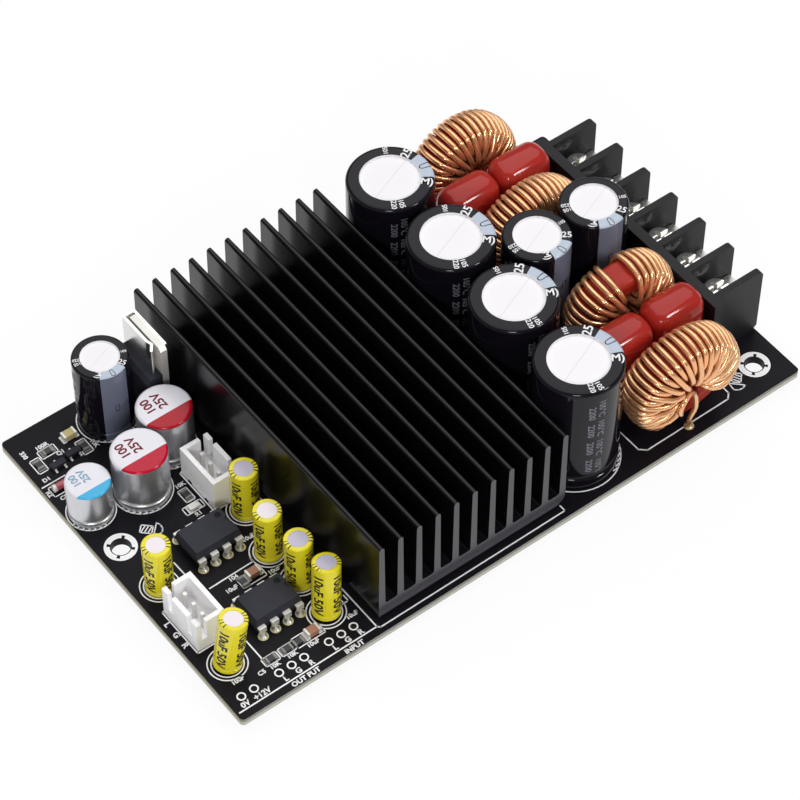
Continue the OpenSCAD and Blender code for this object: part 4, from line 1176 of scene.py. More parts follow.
@dataclass(frozen=True)
class Sleeve:
    """Printed sleeve of a capacitor, as one material for each can.

    Shares are shares of the can's diameter.

    Attributes:
        name: Name of the material.
        film: Colour of the sleeve.
        shade: Second colour of the sleeve.
        stripe: Colour of the stripe on the rim, or nothing.
        shaded_side_stripe: Colour of the stripe on the side, darker than on the rim as painted shade of the
            side.
        ink: Colour of the minus marks on the stripe.
        disc: Colour of the open top.
        score: Colour of the score line on the open top, or nothing.
        strokes: Colour of short strokes on the rim, or nothing.
        rim: Width of the rim as a share.
        rim_depth: Height of the rim's own print as a share.
        top_depth: Depth under the rim to which the open top reaches, as a share.
        top_slack: Spare radius of the open top in millimetres.
        stripe_width: Width of the stripe in degrees.
        mark_pitch: Distance between minus marks in millimetres.
        mark_place: Way of the first mark from the can's axis over the rim, as a share.
        mark_half: Half of a mark's width and half of its length, as shares.
        fine: Half of the width of a fine line, as a share.
        score_slope: Slope of the score line.
        stroke_pitch: Angle from one stroke to the next, in degrees.
        stroke_width: Width of a stroke in degrees.
        stroke_arcs: First and last angle of each arc of strokes, in degrees.
        rough: Roughness of the sleeve and of the open top.
        grain: Grains per metre.
        bump: Height of the grain in millimetres.
        spec: Level of the plain reflection.
    """

    name: str
    film: str = "#0f0d13"
    shade: str = "#15121a"
    stripe: str = "#b3bdcc"
    shaded_side_stripe: str = "#6c7183"
    ink: str = "#23202a"
    disc: str = "#e9e7ea"
    score: str = "#dcdadd"
    strokes: str = ""
    rim: float = 0.155
    rim_depth: float = 0.03
    top_depth: float = 0.1
    top_slack: float = 0.02
    stripe_width: float = 47.0
    mark_pitch: float = 9.5
    mark_place: float = 0.435
    mark_half: tuple[float, float] = (0.036, 0.075)
    fine: float = 0.007
    score_slope: float = 0.4
    stroke_pitch: float = 17.0
    stroke_width: float = 6.0
    stroke_arcs: tuple[tuple[float, float], ...] = ((155, 208), (-62, 5))
    rough: tuple[float, float] = (0.1, 0.45)
    grain: float = 3000.0
    bump: float = 0.002
    spec: float = 0.2

    def material(self, can: Can, stripe_turn: float = 0.0) -> bpy.types.Material:
        """Build the sleeve for one capacitor.

        Args:
            can: Can that wears the sleeve.
            stripe_turn: Middle of the stripe in degrees from +X.

        Returns:
            The material.
        """
        made, wiring, shader = start_material(f"{self.name}_{can.node}")
        place = wiring.place(can.foot, can.turn)
        around = wiring.add("ShaderNodeGroup", node_tree=ROUND)
        wiring.feed(around.inputs[0], place)
        radius, angle, height = around.outputs
        grain = add_grain(wiring, self.grain)
        colour = wiring.mix(grain.outputs["Drift"], linear(self.film), linear(self.shade))
        on_rim = wiring.above(height, can.tall - self.rim_depth * can.wide)
        if self.stripe:
            off = wiring.math("SUBTRACT", angle, math.radians(stripe_turn))
            turned = wiring.math("WRAP", off, math.pi, -math.pi)
            along = wiring.math("SUBTRACT", height, radius)
            colour = self.add_stripe(wiring, can, turned, along, on_rim, colour)
        if self.strokes:
            stroke = wiring.both(on_rim, self.stroke_mask(wiring, angle))
            colour = wiring.mix(stroke, colour, linear(self.strokes))
        open_top = wiring.both(
            wiring.below(radius, (0.5 - self.rim) * can.wide + self.top_slack * MM),
            wiring.above(height, can.tall - self.top_depth * can.wide))
        disc: object = linear(self.disc)
        if self.score:
            x, y, _ = wiring.split(place)
            aside = wiring.math("SUBTRACT", y, wiring.math("MULTIPLY", x, self.score_slope))
            scored = wiring.below(wiring.math("ABSOLUTE", aside), self.fine * can.wide)
            disc = wiring.mix(scored, disc, linear(self.score))
        wiring.feed(shader.inputs["Base Color"], wiring.mix(open_top, colour, disc))
        wiring.feed(shader.inputs["Roughness"], wiring.blend(open_top, *self.rough))
        shader.inputs["Specular IOR Level"].default_value = self.spec
        add_bump(wiring, shader, grain.outputs["Grain"], self.bump)
        return made

    def add_stripe(self, wiring: Wiring, can: Can, turned: Socket, along: Socket, on_rim: Socket,
                   colour: Socket) -> Socket:
        """Lay the stripe and its minus marks over the sleeve.

        Args:
            wiring: Wiring of the material.
            can: Can that wears the sleeve.
            turned: Angle from the middle of the stripe.
            along: Way along the stripe, up the side and in over the rim.
            on_rim: Mask of the rim.
            colour: Colour of the sleeve.

        Returns:
            The colour with the stripe.
        """
        inside = wiring.below(wiring.math("ABSOLUTE", turned), math.radians(self.stripe_width / 2))
        # The stripe is painted darker on the side than on the rim: painted shade, as the side gets less
        # light.
        band = wiring.mix(on_rim, linear(self.shaded_side_stripe), linear(self.stripe))
        colour = wiring.mix(inside, colour, band)
        half_pitch = self.mark_pitch / 2 * MM
        past = wiring.math("SUBTRACT", along, can.tall - self.mark_place * can.wide)
        mark = wiring.add("ShaderNodeGroup", node_tree=MINUS)
        wiring.feed(mark.inputs["U"], wiring.math("MULTIPLY", turned, can.radius))
        wiring.feed(mark.inputs["V"], wiring.math("WRAP", past, half_pitch, -half_pitch))
        for name, share in zip(("Half Width", "Half Length", "Line"), (*self.mark_half, self.fine)):
            mark.inputs[name].default_value = share * can.wide
        return wiring.mix(wiring.both(inside, mark.outputs[0]), colour, linear(self.ink))

    def stroke_mask(self, wiring: Wiring, angle: Socket) -> Socket:
        """Mask of the short strokes round the rim.

        Args:
            wiring: Wiring of the material.
            angle: Angle round the can.

        Returns:
            The mask.
        """
        beat = wiring.math("WRAP", angle, math.radians(self.stroke_pitch), 0.0)
        arcs: Value = 0.0
        for first, last in self.stroke_arcs:
            off = wiring.math("SUBTRACT", angle, math.radians(first))
            past = wiring.math("WRAP", off, 2 * math.pi, 0.0)
            arcs = wiring.either(arcs, wiring.below(past, math.radians(last - first)))
        return wiring.both(wiring.below(beat, math.radians(self.stroke_width)), arcs)


@dataclass(frozen=True)
class BareCan:
    """Brushed can with a printed top and a coloured segment.

    Attributes:
        name: Name of the material.
        mark: Colour of the segment.
        top: Colour of the printed top.
        metal: Two colours of the brushed side.
        chord: Distance of the segment's chord from the can's middle, as a share of its radius.
        mark_turn: Way from the middle to the segment, in degrees from +X.
        lip: Depth of the print at the top's rounded edge, as a share of the diameter.
        metal_share: Share of metal on the side.
        rough: Roughness of the side and of the top.
        brush: Brush strokes per metre.
        brush_stretch: How much the strokes are drawn out along the can.
        grain: Grains per metre.
        bump: Height of the grain in millimetres.
        spec: Level of the plain reflection.
    """

    name: str
    mark: str
    top: str = "#dddbe2"
    metal: tuple[str, str] = ("#dedfe3", "#c3c4c9")
    chord: float = 0.33
    mark_turn: float = -90.0
    lip: float = 0.045
    metal_share: float = 0.9
    rough: tuple[float, float] = (0.32, 0.16)
    brush: float = 9000.0
    brush_stretch: float = 0.04
    grain: float = 3000.0
    bump: float = 0.002
    spec: float = 0.3

    def material(self, can: Can) -> bpy.types.Material:
        """Build the finish for one can.

        Args:
            can: Can that wears the finish.

        Returns:
            The material.
        """
        made, wiring, shader = start_material(f"{self.name}_{can.node}")
        place = wiring.place(can.foot)
        x, y, z = wiring.split(place)
        turn = math.radians(self.mark_turn)
        along = wiring.math("ADD", wiring.math("MULTIPLY", x, math.cos(turn)),
                            wiring.math("MULTIPLY", y, math.sin(turn)))
        on_top = wiring.above(z, can.tall - self.lip * can.wide)
        marked = wiring.both(on_top, wiring.above(along, self.chord * can.radius))
        grain = add_grain(wiring, self.grain)
        brush = wiring.add("ShaderNodeTexNoise")
        stretch = wiring.add("ShaderNodeMapping")
        wiring.feed(stretch.inputs["Vector"], place)
        stretch.inputs["Scale"].default_value = (1, 1, self.brush_stretch)
        wiring.feed(brush.inputs["Vector"], stretch.outputs[0])
        brush.inputs["Scale"].default_value = self.brush
        metal = wiring.mix(brush.outputs[0], *(linear(code) for code in self.metal))
        top = wiring.mix(marked, linear(self.top), linear(self.mark))
        wiring.feed(shader.inputs["Base Color"], wiring.mix(on_top, metal, top))
        wiring.feed(shader.inputs["Metallic"], wiring.blend(on_top, self.metal_share, 0.0))
        wiring.feed(shader.inputs["Roughness"], wiring.blend(on_top, *self.rough))
        shader.inputs["Specular IOR Level"].default_value = self.spec
        add_bump(wiring, shader, grain.outputs["Grain"], self.bump)
        return made


@dataclass
class Capacitors:
    """All the round capacitors of the board.

    Attributes:
        sleeve: Sleeve of the large and medium cans.
        slim_sleeve: Sleeve of the slim can.
        signal_sleeve: Sleeve of the small cans with a pale top.
        shaded_top_sleeve: Sleeve of the small cans whose open top is darker, as painted shade.
        shaded_tops: Numbers of the small cans with that painted shade on their top.
        stripes: Direction of each black can's stripe, in degrees from +X.
        leans: Lean of the small cans that lean, to +X and to +Y, in degrees.
        rim_marks: Marks on a black rim: text, way from the stripe in degrees, share of the size.
        rim_band: Distance of the rim marks from the axis, as a share of the radius.
        rim_size: Height of the rim marks as a share of the radius.
        side_marks: Marks down a black side: text, way from the stripe in degrees.
        side_size: Height of the side marks as a share of the radius.
        side_place: Height of the middle of the side marks, as a share of the can's.
        side_fill: Share of the can's height that the side marks fill.
        side_pitch: Length that one side mark takes, in heights of its letters.
        value: Value on the side of a small can.
        value_size: Height of its letters in millimetres.
        value_turns: Directions of the value, in degrees from +X.
        polymers: Bare cans: end of the node's name, finish, and ink of the value.
        top_lines: Value on the top of a bare can: text, place along X as a share of the radius.
        top_aside: Place of the value along Y, as a share of the radius.
        top_size: Height of its letters, as a share of the radius.
    """

    sleeve: Sleeve = Sleeve("black_sleeve")
    slim_sleeve: Sleeve = Sleeve("slim_sleeve", stripe_width=60.0)
    signal_sleeve: Sleeve = Sleeve(
        "yellow_sleeve", film="#e6d928", shade="#dccf24", stripe="", disc="#e6dee4", score="",
        strokes="#1d1b10", rim=0.16, spec=0.4)
    # The same sleeve with a darker open top: painted shade on some of the like cans.
    shaded_top_sleeve: Sleeve = replace(signal_sleeve, name="shaded_top_sleeve", disc="#bfb9cb")
    shaded_tops: tuple[int, ...] = (1, 3, 4)
    stripes: tuple[tuple[str, float], ...] = (
        ("bulk_capacitor_1", -12), ("bulk_capacitor_2", -11), ("bulk_capacitor_3", 5),
        ("bulk_capacitor_4", -1), ("medium_capacitor_1", -76), ("medium_capacitor_2", -97),
        ("slim_capacitor", -94))
    leans: tuple[tuple[int, tuple[float, float]], ...] = ((4, (6, 6)), (5, (8, -1)))
    rim_marks: tuple[tuple[str, float, float], ...] = (
        ("105", 72, 0.85), ("25", 38, 1.6), ("M)", -34, 1.5), ("105", -98, 0.95), ("220", -110, 0.95))
    rim_band: float = 0.825
    rim_size: float = 0.13
    side_marks: tuple[tuple[str, float], ...] = (("105\u00b0C  ", -97.5), ("2200   ", -110.5))
    side_size: float = 0.15
    side_place: float = 0.52
    side_fill: float = 0.9
    side_pitch: float = 4.6
    value: str = "10uF 50V"
    value_size: float = 1.7
    value_turns: tuple[float, ...] = (-161, -80)
    polymers: tuple[tuple[str, BareCan, Finish], ...] = (
        # Both cans carry the same red print; the front can's lighter red is painted light.
        ("rear", BareCan("bare_can", "#a50c20"), RED_INK),
        ("front", BareCan("bare_can", "#b40a2e"), RED_INK),
        ("small", BareCan("bare_can", "#41a9d6", chord=0.49), BLUE_INK))
    top_lines: tuple[tuple[str, float], ...] = (("100", -0.45), ("25V", 0.0))
    top_aside: float = 0.27
    top_size: float = 0.32

    def build(self, board: Board) -> None:
        """Dress every can and print its marks.

        Args:
            board: Board that they stand on.
        """
        for node, turn in self.stripes:
            can = Can.standing(node, board)
            sleeve = self.slim_sleeve if node == "slim_capacitor" else self.sleeve
            dress(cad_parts[node], sleeve.material(can, turn))
            self.black_marks(can, turn)
        leans = dict(self.leans)
        for i in range(1, 7):
            can = Can.standing(f"signal_capacitor_{i}", board, leans.get(i, (0, 0)), "signal_capacitor_1")
            # Cans 1, 3 and 4 get the open top with painted shade.
            sleeve = self.shaded_top_sleeve if i in self.shaded_tops else self.signal_sleeve
            dress(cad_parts[can.node], sleeve.material(can))
            words = [can.side_words(self.value, turn, can.tall / 2, self.value_size * MM)
                     for turn in self.value_turns]
            mount(dress(join(words, f"signal_marks_{i}"), BLACK_INK), "yellow_sleeve")
        for end, finish, ink in self.polymers:
            self.polymer(Can.standing(f"polymer_capacitor_{end}", board), finish, ink)

    def black_marks(self, can: Can, turn: float) -> None:
        """Print the rim and side marks of one black can.

        Args:
            can: Can that wears them.
            turn: Direction of its stripe in degrees.
        """
        band, size = can.radius * self.rim_band, can.radius * self.rim_size
        words = [can.rim_words(text, turn + off, band, size * share) for text, off, share in self.rim_marks]
        mount(dress(join(words, f"rim_marks_{can.node}"), PRINT), "black_sleeve")
        size, place = can.radius * self.side_size, can.tall * self.side_place
        count = int(can.tall * self.side_fill / (size * self.side_pitch))
        words = [can.side_words((text * count).strip(), turn + off, place, size)
                 for text, off in self.side_marks]
        # The side marks take the darker ink, as painted shade of the side.
        mount(dress(join(words, f"side_marks_{can.node}"), SHADED_SIDE_INK), "black_sleeve")

    def polymer(self, can: Can, finish: BareCan, ink: Finish) -> None:
        """Dress one bare can and print its value on its top.

        Args:
            can: The can.
            finish: Finish of the can.
            ink: Ink of the value.
        """
        dress(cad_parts[can.node], finish.material(can))
        lines = []
        for text, along in self.top_lines:
            piece = lettering(text, can.radius * self.top_size, Bold.TOP)
            aside = Vector((along, self.top_aside, 0)) * can.radius
            piece.location = can.foot + aside + Vector((0, 0, can.tall + PRINT_LIFT))
            piece.rotation_euler = (0, 0, math.radians(Facing.RIGHT.value))
            lines.append(thicken(settle(piece), PRINT_DEPTH))
        mount(dress(join(lines, f"value_{can.node}"), ink), "bare_can")


@dataclass
class FilmCapacitors:
    """Dipped film capacitors, as smooth resin lumps.

    Attributes:
        back_r: Radius along the top and bottom, in millimetres.
        end_r: Radius round the ends, in millimetres.
        back_steps: Segments of the rounding along the top and bottom.
        end_steps: Segments of the rounding round the ends.
        end_slack: How near to an end an edge counts as part of it, in millimetres.
        smooth_to: Angle up to which the resin is shaded smooth, in degrees.
        lead_top: Height over the board where the resin starts, in millimetres.
    """

    back_r: float = 3.2
    end_r: float = 2.5
    back_steps: int = 8
    end_steps: int = 6
    end_slack: float = 0.1
    smooth_to: float = 60.0
    lead_top: float = 2.2

    def build(self, board: Board) -> None:
        """Model the four capacitors.

        Args:
            board: Board that they stand on.
        """
        for i in range(1, 5):
            node = f"film_capacitor_{i}"
            low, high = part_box(node)
            low.z = board.middle.z + self.lead_top * MM
            mount(dress(self.resin(low, high, f"film_body_{i}"), FILM), "red_film", node)

    def resin(self, low: Vector, high: Vector, name: str) -> Piece:
        """Model one resin body.

        Args:
            low: Lowest corner.
            high: Highest corner.
            name: Name of the piece.

        Returns:
            The piece.
        """
        piece = block(low, high)
        bevel_edges(piece, lambda middle, way: abs(way.x) > SQUARE_ON, self.back_r * MM, self.back_steps)
        left, right = low.x + self.end_slack * MM, high.x - self.end_slack * MM
        bevel_edges(piece, lambda middle, way: not left < middle.x < right, self.end_r * MM, self.end_steps)
        piece.name = name
        smooth(piece, self.smooth_to)
        return piece


# Toroids


@dataclass(frozen=True)
class Ring:
    """How one toroid stands and how it is wound.

    Attributes:
        tilt: Lean to the front in degrees.
        yaw: Turn about the vertical in degrees.
        slack: Spare radius under the wire, in millimetres.
        bare: Arc without turns, in degrees.
        thinning: How much wider than its tight right side the left side is wound.
        start: Angle of the first turn in degrees.
        looped: Whether its last lead makes a loop over the front.
    """

    tilt: float
    yaw: float
    slack: float
    bare: float
    thinning: float
    start: float = -60.0
    looped: bool = False


@dataclass
class Toroids:
    """Ring cores with their copper windings, which lie in three layers at the hole.

    Lengths are in millimetres.

    Attributes:
        core_id: Inner diameter of a core.
        core_ring: Radial thickness of a core.
        core_w: Width of a core.
        wire: Diameter of the wire.
        strand: Diameter of the wire with its thick enamel.
        turn_space: Space between two turns at the hole.
        end: Angle of the last turn in degrees.
        lead_turn: Angle at which the first lead leaves the ring, in degrees.
        cut: Corner of a turn.
        gap: Gap between wire and core.
        sinks: Wire diameters by which the turns of each layer lie further in, in their order.
        rises: Wire diameters by which they lie further out along the axis.
        layers: Wire diameters by which a layer lies further in, and its turns as one in so many.
        shares: Share of a turn's advance at each of its corners.
        last_corner: Corner of the last turn at which its lead starts.
        bare_share: Share of the turns that comes before the bare arc.
        swing: Angle past the last turn at which its lead leaves.
        lead_sink: Depth of the leads' ends under the board's face.
        loop_start: Angle, radius and way out of the point where a loop leaves the ring.
        loop_bends: Points of a loop from its lead's foot.
        bend_steps: Segments of the wire from one point to the next.
        round_steps: Fineness of the wire's round section.
        rings: How each toroid stands, from the rear.
    """

    core_id: float = 9.8
    core_ring: float = 4.2
    core_w: float = 5.6
    wire: float = 0.92
    strand: float = 1.03
    turn_space: float = 0.14
    end: float = 240.0
    lead_turn: float = -60.0
    cut: float = 1.0
    gap: float = 0.1
    sinks: tuple[float, ...] = (0, 1, 0, 2)
    rises: tuple[float, ...] = (0, 1, 0, 1.2)
    layers: tuple[tuple[int, int], ...] = ((0, 2), (1, 4), (2, 4))
    shares: tuple[float, ...] = (0, 0.05, 0.18, 0.23, 0.52, 0.57, 0.7, 0.75)
    last_corner: int = 5
    bare_share: float = 0.59
    swing: float = 20.0
    lead_sink: float = 1.2
    loop_start: tuple[float, float, float] = (178, 3.3, 0.3)
    loop_bends: tuple[tuple[float, float, float], ...] = ((-0.5, -0.4, 8.2), (0.8, -0.4, 3.6))
    bend_steps: int = 4
    round_steps: int = 3
    rings: tuple[Ring, ...] = (
        Ring(-1, -3, 0, 0, 0.1), Ring(3, -2, 0.3, 0, 0.05), Ring(8, -4, 0, 18, 0.2),
        Ring(7, -4, 0.7, 0, 0.1, -30, True))

    def __post_init__(self) -> None:
        """Work out the loop round a core's section."""
        half = self.wire / 2
        self.inner = self.core_id / 2 - self.gap - half
        self.deep = self.core_w / 2 + self.gap + half

    def outer(self, ring: Ring) -> float:
        """Radius of the wire's middle round the outside of a core."""
        return self.core_id / 2 + self.core_ring + self.gap + self.wire / 2 + ring.slack

    def turns(self, ring: Ring) -> int:
        """Turns that fit on a ring, by the fullest of its three layers."""
        room = self.wire + self.turn_space
        least = max(room / (apart * (self.inner - sink * self.wire)) for sink, apart in self.layers)
        return int((self.end - ring.start - ring.bare) * (1 - ring.thinning) / math.degrees(least))

    def corner(self, ring: Ring, turn: int, k: int) -> tuple[float, float]:
        """Radius and place along the axis of one of a turn's eight corners.

        Args:
            ring: Toroid that the turn lies on.
            turn: Number of the turn.
            k: Number of the corner, from the rear outer one round to the front outer one.

        Returns:
            The radius and the place along the axis, in millimetres.
        """
        c = k if k < 4 else 7 - k
        layer = turn % len(self.sinks)
        radius, height = self.outer(ring), self.deep
        if c > 1:
            radius = self.inner - self.sinks[layer] * self.wire
            height += self.rises[layer] * self.wire
        radius += {1: -self.cut, 2: self.cut}.get(c, 0)
        height -= self.cut if c in (0, 3) else 0
        return radius, height if k < 4 else -height

    def path(self, index: int, board: Board) -> list[Vector]:
        """Points of a winding's wire in the row frame.

        Args:
            index: Place of the toroid, from the rear.
            board: Board that the leads go into.

        Returns:
            The points from the first lead to the last.
        """
        ring = self.rings[index]
        middle = middle_of(f"toroid_core_{index + 1}")
        pose = Matrix.Rotation(math.radians(ring.yaw), 4, "Z")
        pose = pose @ Matrix.Rotation(math.radians(ring.tilt), 4, "X")
        turns = self.turns(ring)
        last = self.last_corner
        arc = self.end - ring.start - ring.bare

        def seat(angle: float, radius: float, along: float) -> Vector:
            """Point of the ring's own frame, set in the row frame."""
            turn = math.radians(angle)
            return middle + pose @ (Vector((radius * math.cos(turn), along, radius * math.sin(turn))) * MM)

        points: list[Vector] = []
        for j in range(turns):
            for k in range(8 if j < turns - 1 else last + 1):
                share = (j + self.shares[k]) / (turns - 1 + self.shares[last])
                share += ring.thinning * (share ** 2 - share)
                crossed = j + (0 if k < 4 else 1) > math.floor(self.bare_share * turns)
                angle = ring.start + arc * share + (ring.bare if crossed else 0)
                points.append(seat(angle, *self.corner(ring, j, k)))
        half = self.wire / 2
        outer = self.outer(ring)
        first = seat(self.lead_turn, outer, 0)
        under = board.middle.z - self.lead_sink * MM
        side = self.deep + max(self.rises) * self.wire + half
        bow = seat(self.end + self.swing, self.inner + self.cut, -side)
        foot_y = (outer + half) * math.sin(math.radians(ring.tilt)) - self.deep - self.wire
        foot = Vector((middle.x + half * MM, middle.y + foot_y * MM, board.middle.z + 2 * self.wire * MM))
        lead_in = [Vector((first.x, first.y, under)), first - Vector((0, 0, self.wire * MM))]
        bend = [bow]
        if ring.looped:
            angle, radius, out = self.loop_start
            bend = [seat(angle, radius, -side - out)]
            bend += [foot + Vector(shift) * MM for shift in self.loop_bends]
        return lead_in + points + bend + [foot, Vector((foot.x, foot.y, under))]

    def winding(self, index: int, board: Board) -> Piece:
        """Model one winding as a smooth round wire.

        Args:
            index: Place of the toroid, from the rear.
            board: Board that the leads go into.

        Returns:
            The piece.
        """
        deselect_all()
        bpy.ops.curve.primitive_bezier_curve_add(location=(0, 0, 0))
        curve = bpy.context.object
        curve.data.splines.clear()
        points = self.path(index, board)
        spline = curve.data.splines.new("BEZIER")
        spline.bezier_points.add(len(points) - 1)
        for knot, place in zip(spline.bezier_points, points):
            knot.co = place
            knot.handle_left_type = "AUTO"
            knot.handle_right_type = "AUTO"
        spline.resolution_u = self.bend_steps
        curve.data.bevel_depth = self.strand / 2 * MM
        curve.data.bevel_resolution = self.round_steps
        curve.data.use_fill_caps = True
        pick(curve)
        bpy.ops.object.convert(target="MESH")
        piece = bpy.context.object
        piece.name = f"copper_winding_{index + 1}"
        pick(piece)
        bpy.ops.object.shade_smooth()
        return piece

    def build(self, board: Board) -> None:
        """Dress the cores and model the windings.

        Args:
            board: Board that the leads go into.
        """
        for index in range(len(self.rings)):
            dress(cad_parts[f"toroid_core_{index + 1}"], CORE)
            mount(dress(self.winding(index, board), COPPER), "copper_wire", f"toroid_winding_{index + 1}")


# Small parts on the board's face


@dataclass(frozen=True)
class Chip:
    """One kind of small part with two metal ends.

    Attributes:
        size: Length, width and height in millimetres.
        body: Finish of the body.
        end: Length of a metal end in millimetres.
        metal: Finish of the metal ends.
        lift: Height of the part over the board in millimetres.
        inset: How far the body lies inside its ends, along and across, in millimetres.
        pad: How far a pad stands out, along, across and up, in millimetres.
        soft: Bevel of the body, of an end and of a pad in millimetres.
    """

    size: tuple[float, float, float]
    body: Finish
    end: float = 0.45
    metal: Finish = TIN
    lift: float = 0.02
    inset: tuple[float, float] = (0.1, 0.03)
    pad: tuple[float, float, float] = (0.35, 0.1, 0.12)
    soft: tuple[float, float, float] = (0.05, 0.06, 0.05)

    def build(self, board: Board, x: float, y: float, upright: bool = False) -> Piece:
        """Model one part with its ends and its pads.

        Args:
            board: Board that carries it.
            x: Middle along the board.
            y: Middle across the board.
            upright: Whether it lies across the board.

        Returns:
            The part as one piece.
        """
        length, width, height = self.size
        turn = math.radians(Facing.RIGHT.value if upright else 0.0)

        def brick(a: float, b: float, half: float, low: float, high: float, soft: float) -> Piece:
            """Bevelled block between two lengths, in the part's own frame."""
            return rounded_block(Vector((a, -half, low)) * MM, Vector((b, half, high)) * MM, soft * MM)

        reach, half = length / 2, width / 2
        along, across = self.inset
        out, aside, thick = self.pad
        body = brick(-reach + along, reach - along, half - across, self.lift, height - across, self.soft[0])
        pieces = [dress(body, self.body)]
        for side in (-1, 1):
            a, b = sorted((side * reach, side * (reach - self.end)))
            pieces.append(dress(brick(a, b, half, self.lift, height, self.soft[1]), self.metal))
            a, b = sorted((side * (reach + out), side * (reach - self.end)))
            pieces.append(dress(brick(a, b, half + aside, 0.0, thick, self.soft[2]), self.metal))
        piece = join(pieces, "chip")
        piece.matrix_world = Matrix.Translation(board.at(x, y)) @ Matrix.Rotation(turn, 4, "Z")
        return settle(piece)


@dataclass
class SmallParts:
    """Chip resistors, ceramic capacitors, transistors, a lamp and a glass diode.

    Attributes:
        resistor: Kind of the chip resistors.
        ceramic: Kind of the ceramic capacitors.
        cream: Kind of the pale ceramic capacitor.
        lamp: Kind of the small lamp.
        transistor: Length, width and height of a transistor's body in millimetres.
        lifts: Height of a transistor's body and of its legs over the board, in millimetres.
        soft: Bevel of a transistor's body and of its legs in millimetres.
        legs: Place along a transistor and side of each of its legs.
        leg: Half width, length under the body, length past it and height of a leg, in millimetres.
        root: Half length, foot and top of the block where a leg leaves the body, in millimetres.
        diode_rings: Start, length, share of the radius and finish of each section of the diode.
        flat: Places of the resistors that lie along the board.
        across: Places of the resistors that lie across it.
        brown: Places of the brown ceramic capacitors.
        transistors: Places of the transistors.
        extra: Places of the two resistors at the rear, the first of which lies across the board.
        cream_place: Place of the pale ceramic capacitor.
        lamp_place: Place of the small lamp.
        diode_steps: Segments round the diode.
        diode_soft: Bevel of the diode's sections, as a share of its radius.
    """

    resistor: Chip = Chip((2.0, 1.25, 0.5), RESISTOR, metal=DULL_TIN)
    ceramic: Chip = Chip((2.6, 1.6, 1.3), CERAMIC)
    cream: Chip = Chip((2.6, 1.6, 1.3), CREAM)
    lamp: Chip = Chip((2.0, 1.25, 0.7), LENS)
    transistor: tuple[float, float, float] = (2.9, 1.3, 0.95)
    lifts: tuple[float, float] = (0.1, 0.02)
    soft: tuple[float, float] = (0.12, 0.04)
    legs: tuple[tuple[float, int], ...] = ((-0.95, -1), (0.95, -1), (0, 1))
    leg: tuple[float, float, float, float] = (0.2, 0.1, 0.68, 0.2)
    root: tuple[float, float, float] = (0.16, 0.1, 0.5)
    diode_rings: tuple[tuple[float, float, float, Finish], ...] = (
        (0.16, 0.68, 0.94, GLASS_BEAD), (0.0, 0.19, 1.0, TIN), (0.81, 0.19, 1.0, TIN))
    flat: tuple[tuple[float, float], ...] = ((-49.83, -29.0), (-46.53, -29.0), (-44.23, -29.0))
    across: tuple[tuple[float, float], ...] = ((-44.33, -13.61), (-41.43, 7.2), (-49.43, 26.6))
    brown: tuple[tuple[float, float], ...] = ((-42.13, -13.31), (-41.33, -28.9))
    transistors: tuple[tuple[float, float], ...] = ((-51.83, 26.4), (-55.33, 25.8))
    extra: tuple[tuple[float, float], ...] = ((-58.0, 27.8), (-55.1, 29.5))
    cream_place: tuple[float, float] = (-50.33, 30.0)
    lamp_place: tuple[float, float] = (-41.95, 4.3)
    diode_steps: int = 32
    diode_soft: float = 0.15

    def build(self, board: Board) -> None:
        """Model the small parts.

        Args:
            board: Board that carries them.
        """
        parts = [self.resistor.build(board, x, y) for x, y in self.flat]
        parts += [self.resistor.build(board, x, y, True) for x, y in self.across]
        mount(join(parts, "chip_resistor_set"), "chip_resistor_black", "chip_resistors")
        extra = [self.resistor.build(board, *place, place == self.extra[0]) for place in self.extra]
        mount(join(extra, "chip_resistor_pair"), "chip_resistor_black")
        parts = [self.ceramic.build(board, x, y) for x, y in self.brown]
        parts.append(self.cream.build(board, *self.cream_place))
        mount(join(parts, "ceramic_set"), "ceramic_brown", "ceramic_capacitors")
        mount(join([self.lamp.build(board, *self.lamp_place)], "power_lamp"), "white_nylon")
        parts = [self.build_transistor(board, x, y) for x, y in self.transistors]
        mount(join(parts, "transistor_pair"), "chip_plastic", "small_transistors")
        mount(self.build_diode(), "diode_glass", "signal_diode")

    def build_transistor(self, board: Board, x: float, y: float) -> Piece:
        """Model one three-legged transistor.

        Args:
            board: Board that carries it.
            x: Middle along the board.
            y: Middle across the board.

        Returns:
            The piece.
        """
        length, width, height = self.transistor
        a, b = length / 2, width / 2
        body_lift, leg_lift = self.lifts
        body_soft, leg_soft = (size * MM for size in self.soft)
        body = rounded_block(board.at(x - a, y - b, body_lift), board.at(x + a, y + b, height), body_soft)
        pieces = [dress(body, CHIP)]
        wide, under, past, thick = self.leg
        deep, foot, top = self.root
        for dx, side in self.legs:
            left, right = x + dx - wide, x + dx + wide
            edge, toe = sorted((y + side * (b - under), y + side * (b + past)))
            leg = rounded_block(board.at(left, edge, leg_lift), board.at(right, toe, thick), leg_soft)
            pieces.append(dress(leg, TIN))
            face = y + side * b
            low, high = board.at(left, face - deep, foot), board.at(right, face + deep, top)
            pieces.append(dress(rounded_block(low, high, leg_soft), TIN))
        return join(pieces, "transistor")

    def build_diode(self) -> Piece:
        """Model the glass diode with its metal ends.

        Returns:
            The piece.
        """
        low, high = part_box("signal_diode")
        middle, radius = (low + high) / 2, (high.z - low.z) / 2
        length = high.x - low.x
        pieces = []
        for start, run, size, finish in self.diode_rings:
            deselect_all()
            place = (low.x + (start + run / 2) * length, middle.y, middle.z)
            bpy.ops.mesh.primitive_cylinder_add(
                vertices=self.diode_steps, radius=radius * size, depth=run * length, location=place,
                rotation=(0, math.pi / 2, 0))
            piece = settle(bpy.context.object)
            bevel_edges(piece, lambda spot, way: abs(way.x) < 0.1, radius * self.diode_soft, 3)
            smooth(piece)
            pieces.append(dress(piece, finish))
        return join(pieces, "glass_diode")


# Plain dressed nodes


